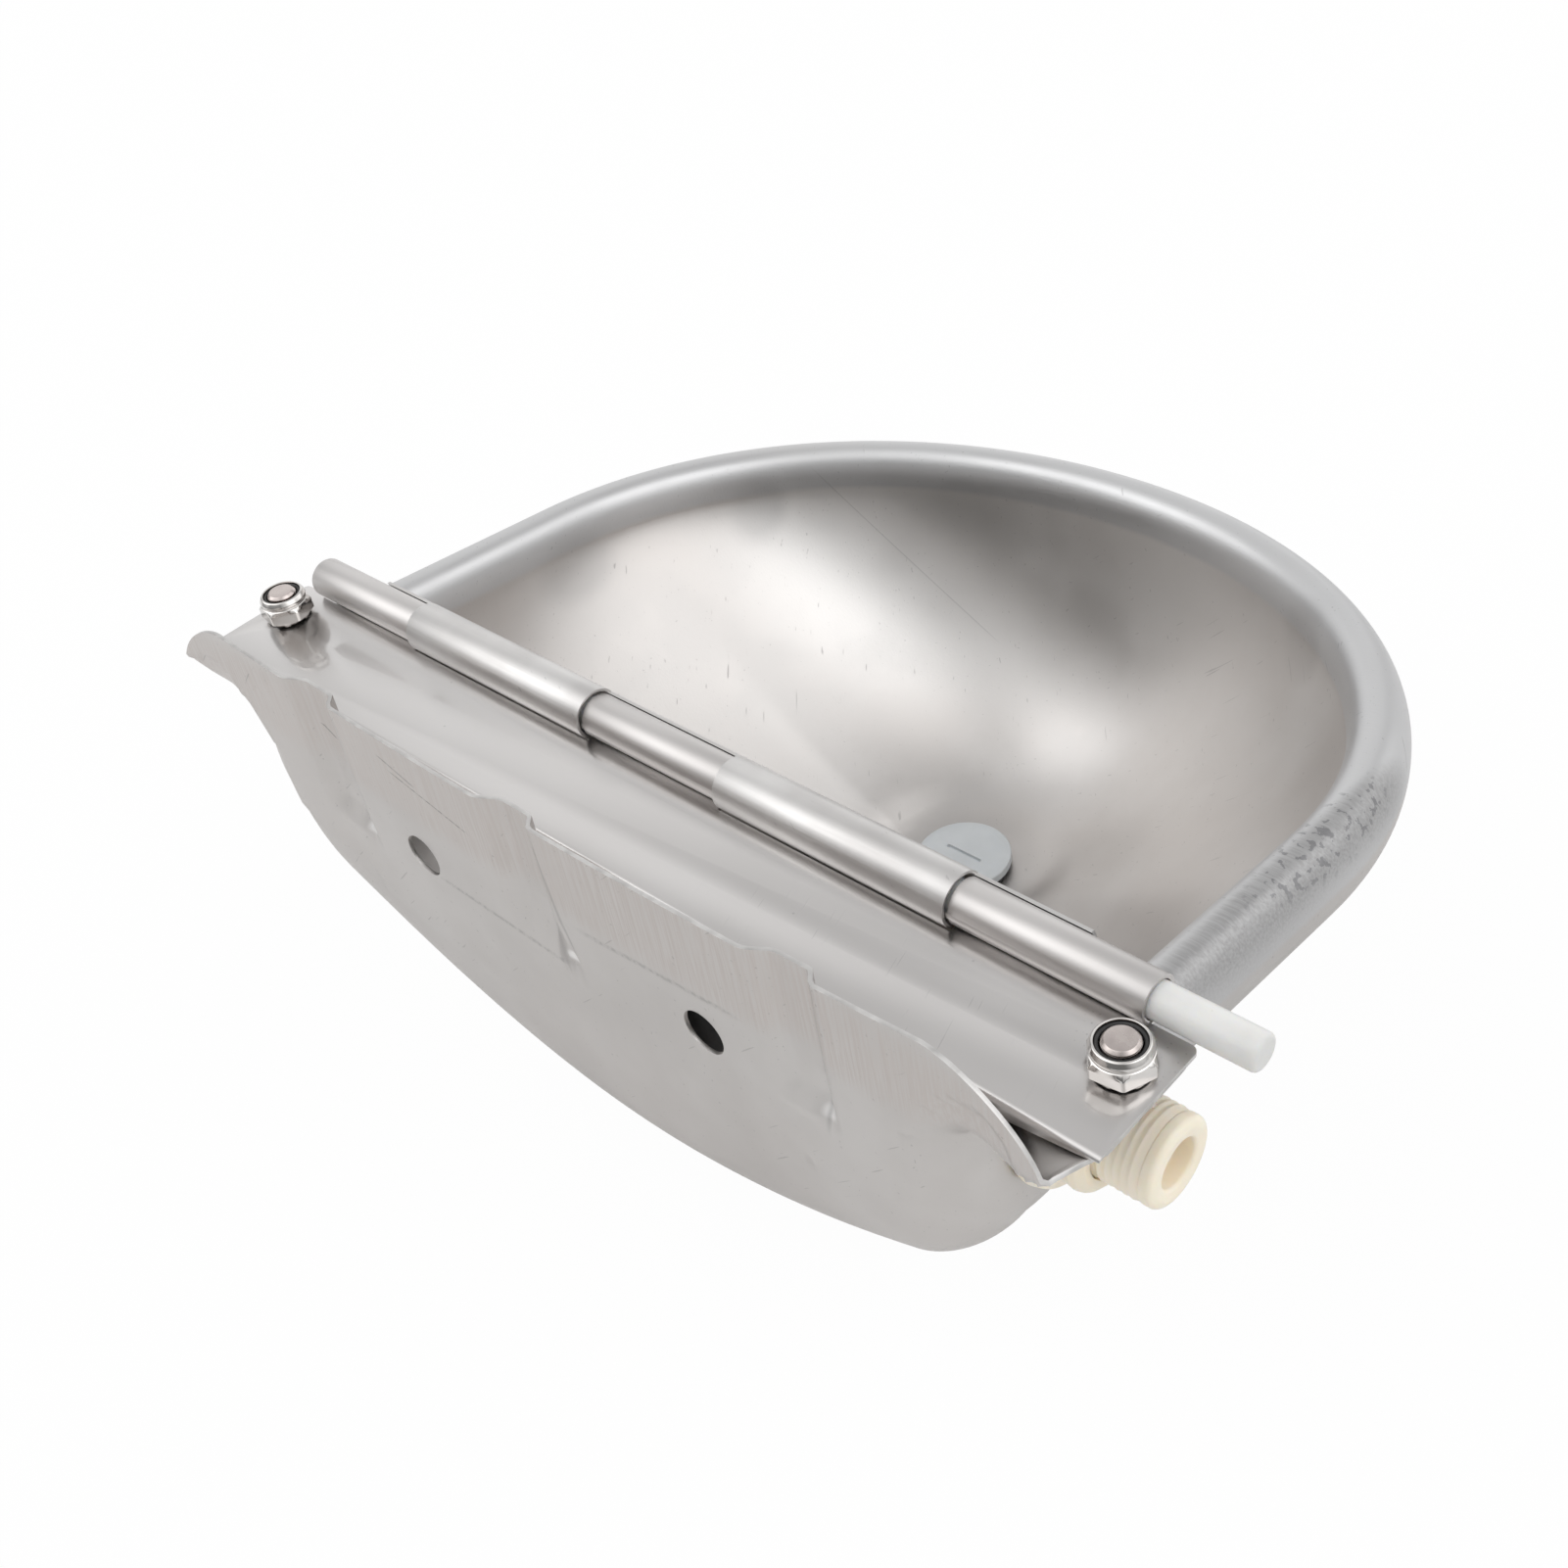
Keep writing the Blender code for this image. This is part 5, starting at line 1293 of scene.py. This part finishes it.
def makeInsert(tag):
    z = nut["seat"]
    profile = closedProfile([
        (4.32, z + 0.6), (4.32, z + 0.3), (5.22, z + 0.3),
        (5.22, z + 1.5, 0.35), (4.75, z + 1.72, 0.3), (4.32, z + 1.45, 0.2),
    ])
    thing = turnedThing("nutInsert." + tag, profile, boltCentre(tag), 2, 72, closed=True)
    return finishPiece(thing, insertNylon, "base", ["nut_insert_" + tag])


def makeBolt(tag):
    # Chamfered hexagon head below, threaded shank, chamfered tip.
    n = nut
    head, tip = n["headTop"], n["boltTip"]
    bottom = head - n["headHeight"]
    start = roundedProfile([
        (0.0, bottom), (6.0, bottom, 0.2), (8.4, bottom + 1.3, 0.1), (8.4, head - 0.1),
        (6.3, head), (3.98, head, 0.2), (3.98, head + 0.6),
    ])
    end = roundedProfile([(3.6, tip - 1.0), (3.98, tip - 0.8, 0.1), (3.25, tip - 0.05, 0.2), (0.0, tip)])
    profile = np.concatenate([start, threadRows(3.98, 0.45, 1.25, head + 0.8, tip - 1.1), end])
    hexagon = (n["flats"], 0.0, n["cornerRound"])
    thing = turnedThing("coverBolt." + tag, profile, boltCentre(tag), 2, 144, hexagon)
    return finishPiece(thing, boltSteel, "base", ["cover_bolt_" + tag])


for tag in ("left", "right"):
    makeNut(tag)
    makeInsert(tag)
    makeBolt(tag)
print("bolts and nuts")


drain = {
    "low": -62.8,
    "head": 3.0,
    "radius": 14.3,
    "stem": 7.0,
    "end": -74.1,
    "slot": (13.0, 1.3, 1.1),
    "sealRadius": 13.9,
    "sealThick": 1.4,
    "nutFlats": 25.0,
    "nutHigh": -66.1,
    "nutHeight": 6.0,
}


def makeDrain():
    d = drain
    low, top = d["low"], d["low"] + d["head"]
    centre = (0.0, -bowl["plugOut"])
    profile = [
        (0.0, top), (d["radius"] - 2.2, top, 0.3), (d["radius"], top - 0.25, 0.5),
        (d["radius"], low, 0.25), (d["stem"], low),
    ]
    stem = threadRows(d["stem"], 0.55, 1.814, d["end"] + 1.0, low - 2.2)[::-1]
    profile = np.concatenate([roundedProfile(profile), stem, [(d["stem"] - 0.9, d["end"]), (0.0, d["end"])]])
    plug = turnedThing("drainPlug", profile, centre, 2, 96)
    length, width, depth = d["slot"]
    half = (length - width) / 2.0
    right = arcPoints((half, centre[1]), width / 2.0, -90.0, 90.0, 9)
    left = arcPoints((-half, centre[1]), width / 2.0, 90.0, 270.0, 9)
    carve(plug, [prism("slot", np.concatenate([right, left]), 2, top - depth, top + 2.0)], 0.12, 50.0)
    finishPiece(plug, plugPlastic, "plug_body", ["drain_plug"])
    inner, outer, high = d["stem"] + 0.3, d["sealRadius"], low - 0.3
    under = high - d["sealThick"]
    ring = closedProfile([
        (inner, high - 0.7), (inner, high), (outer, high, 0.5), (outer, under, 0.5), (inner, under),
    ])
    seal = turnedThing("drainSeal", ring, centre, 2, 96, closed=True)
    finishPiece(seal, blackRubber, "plug_body", ["drain_seal"])
    bottom = d["nutHigh"] - d["nutHeight"]
    ring = closedProfile([
        (inner, bottom + 2.0), (inner, bottom + 0.5), (inner + 0.5, bottom), (11.6, bottom, 0.2),
        (14.8, bottom + 1.6), (14.8, d["nutHigh"] - 0.2, 0.1), (inner, d["nutHigh"]),
    ])
    underNut = turnedThing("drainNut", ring, centre, 2, 144, (d["nutFlats"], 0.0, 0.4), closed=True)
    finishPiece(underNut, plugPlastic, "base", ["drain_nut"])


makeDrain()
print("drain")


inlet = {
    "end": -151.5,
    "thread": 10.4,
    "depth": 0.24,
    "mouth": (5.7, 6.0),
    "pitch": 1.814,
    "bore": 4.2,
    "nutHigh": -124.3,
    "nutLength": 13.6,
    "flange": (18.6, 5.0),
    "waist": 14.2,
    "collar": 14.7,
    "bodyCollar": (14.5, 3.0),
    "bodyRadius": 9.5,
    "innerEnd": -88.0,
    "guide": 6.3,
    "pivot": (-76.0, 17.5),
    "cheekInner": 6.6,
    "cheekThick": 2.4,
}


def makeInletNut():
    v = inlet
    high, low = v["nutHigh"], v["nutHigh"] - v["nutLength"]
    bore = v["thread"] + 0.3
    radius, thick = v["flange"]
    foot = high - thick
    waist, collar = v["waist"], v["collar"]
    profile = closedProfile([
        (bore, high - 2.0), (bore, high, 0.2), (radius - 0.3, high, 0.5),
        (radius, high - 1.6, 1.0), (radius - 0.9, foot + 0.4, 1.2),
        (waist + 1.2, foot - 0.8, 1.6), (waist, foot - 2.6, 1.6), (waist + 0.3, foot - 4.6, 1.0),
        (collar, foot - 5.8, 0.8), (collar - 0.4, low + 1.4, 1.2), (collar - 2.2, low, 0.8), (bore, low, 0.3),
    ])
    thing = turnedThing("inletNut", profile, (-bowl["inlet"][0], bowl["inlet"][1]), 0, 96, closed=True)
    return finishPiece(thing, creamPlastic, "base", ["inlet_nut"], 45.0)


def makeValveBody():
    v = inlet
    axis = (-bowl["inlet"][0], bowl["inlet"][1])
    collarHigh = -(bowl["halfWidth"] - 0.3 - 1.6) + 0.3 + v["bodyCollar"][1]
    collarLow = collarHigh - v["bodyCollar"][1]
    neck = v["nutHigh"] - v["nutLength"]
    end, bore, thread, guide = v["end"], v["bore"], v["thread"], v["guide"]
    mouth, deep = v["mouth"]
    start = roundedProfile([
        (bore, end + deep + 3.0), (bore, end + deep, 0.4),
        (mouth, end + deep - 1.6, 0.6), (mouth, end + 0.3, 0.9), (8.3, end, 1.2),
        (thread - 0.15, end + 0.5, 1.9), (thread - 0.15, end + 3.0, 0.6), (thread - 0.4, end + 3.3),
    ])
    rings = threadRows(thread, v["depth"], v["pitch"], end + 3.3 + 0.5 * v["pitch"], neck)
    collar, body = v["bodyCollar"][0], v["bodyRadius"]
    inside = roundedProfile([
        (thread, neck + 0.5), (thread, collarLow, 0.2), (collar, collarLow, 0.4), (collar, collarHigh, 0.5),
        (body, collarHigh, 0.8), (body, v["innerEnd"], 0.6), (guide, v["innerEnd"], 0.3), (guide, -102.0),
    ])
    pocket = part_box("valve_seat")[0][0] * 1000.0 - 0.3
    back = np.array([(guide, pocket), (bore, pocket), (bore, end + deep + 6.0)])
    thing = turnedThing("valveBody", np.concatenate([start, rings, inside, back]), axis, 0, 96, closed=True)
    px, pz = v["pivot"]
    left, right, bottom, high, r = v["innerEnd"] - 8.0, px + 5.0, pz - 5.0, axis[1] + 5.0, 2.5
    outline = np.concatenate([
        [(left, bottom)],
        arcPoints((right - r, bottom + r), r, -90.0, 0.0, 7),
        arcPoints((right - r, high - r), r, 0.0, 90.0, 7),
        [(left, high)],
    ])
    inner, thick = v["cheekInner"], v["cheekThick"]
    cheeks = [prism("cheek", outline, 1, axis[0] - inner - thick, axis[0] - inner)]
    cheeks.append(prism("cheek", outline, 1, axis[0] + inner, axis[0] + inner + thick))
    cutWith(thing, cheeks, "UNION")
    bores = [
        roundBar("guideBore", axis, guide, 0, pocket, v["innerEnd"] + 3.0),
        roundBar("pivotBore", (px, pz), 1.8, 1, axis[0] - 12.0, axis[0] + 12.0),
    ]
    cutWith(thing, bores)
    settle(thing, cheeks + bores)
    return finishPiece(thing, creamPlastic, "base", ["valve_body"], 42.0)


floatBox = {"size": (60.0, 25.0, 24.0), "tilt": 16.0, "planPower": 0.28, "sidePower": 0.30, "seam": 0.012}


def makeFloat():
    # A closed box float with well rounded edges and a raised seam line round its middle: a
    # superellipse in plan and section, placed at the CAD float's middle and laid at its tilt.
    low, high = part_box("float")
    middle = (np.array(low) + np.array(high)) * 500.0
    tilt, seam = math.radians(floatBox["tilt"]), floatBox["seam"]
    length, width, height = floatBox["size"]
    flat, steep = floatBox["planPower"], floatBox["sidePower"]
    side = np.linspace(0.0, 2.0 * math.pi, 120, endpoint=False)
    rise = np.linspace(-math.pi / 2.0, math.pi / 2.0, 61)

    def power(value, exponent):
        return np.sign(value) * np.abs(value) ** exponent

    z = 0.5 * height * power(np.sin(rise), steep)[:, None] * np.ones((1, 120))
    girth = power(np.cos(rise), steep)[:, None] * (1.0 - seam + seam * np.exp(-((z / 0.5) ** 2)))
    x = 0.5 * length * girth * power(np.cos(side), flat)[None]
    y = 0.5 * width * girth * power(np.sin(side), flat)[None]
    turned = (x * math.cos(tilt) + z * math.sin(tilt), y, z * math.cos(tilt) - x * math.sin(tilt))
    points = np.stack(turned, axis=-1) + middle
    thing = weld(newThing("floatBox", points, gridFaces(61, 120, loopColumns=True)))
    return finishPiece(thing, floatPlastic, "float_lever", ["float"])


makeInletNut()
makeValveBody()
makeFloat()

plainNodes = {
    "inlet_gasket": blackRubber,
    "valve_seat": brassFinish,
    "plunger": floatPlastic,
    "plunger_seal": blackRubber,
    "arm_pivot_pin": boltSteel,
    "float_arm": floatPlastic,
    "float_screw": boltSteel,
}
for nodeName, look in plainNodes.items():
    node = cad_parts[nodeName]
    node.data.materials.clear()
    node.data.materials.append(look)
print("inlet and valve")
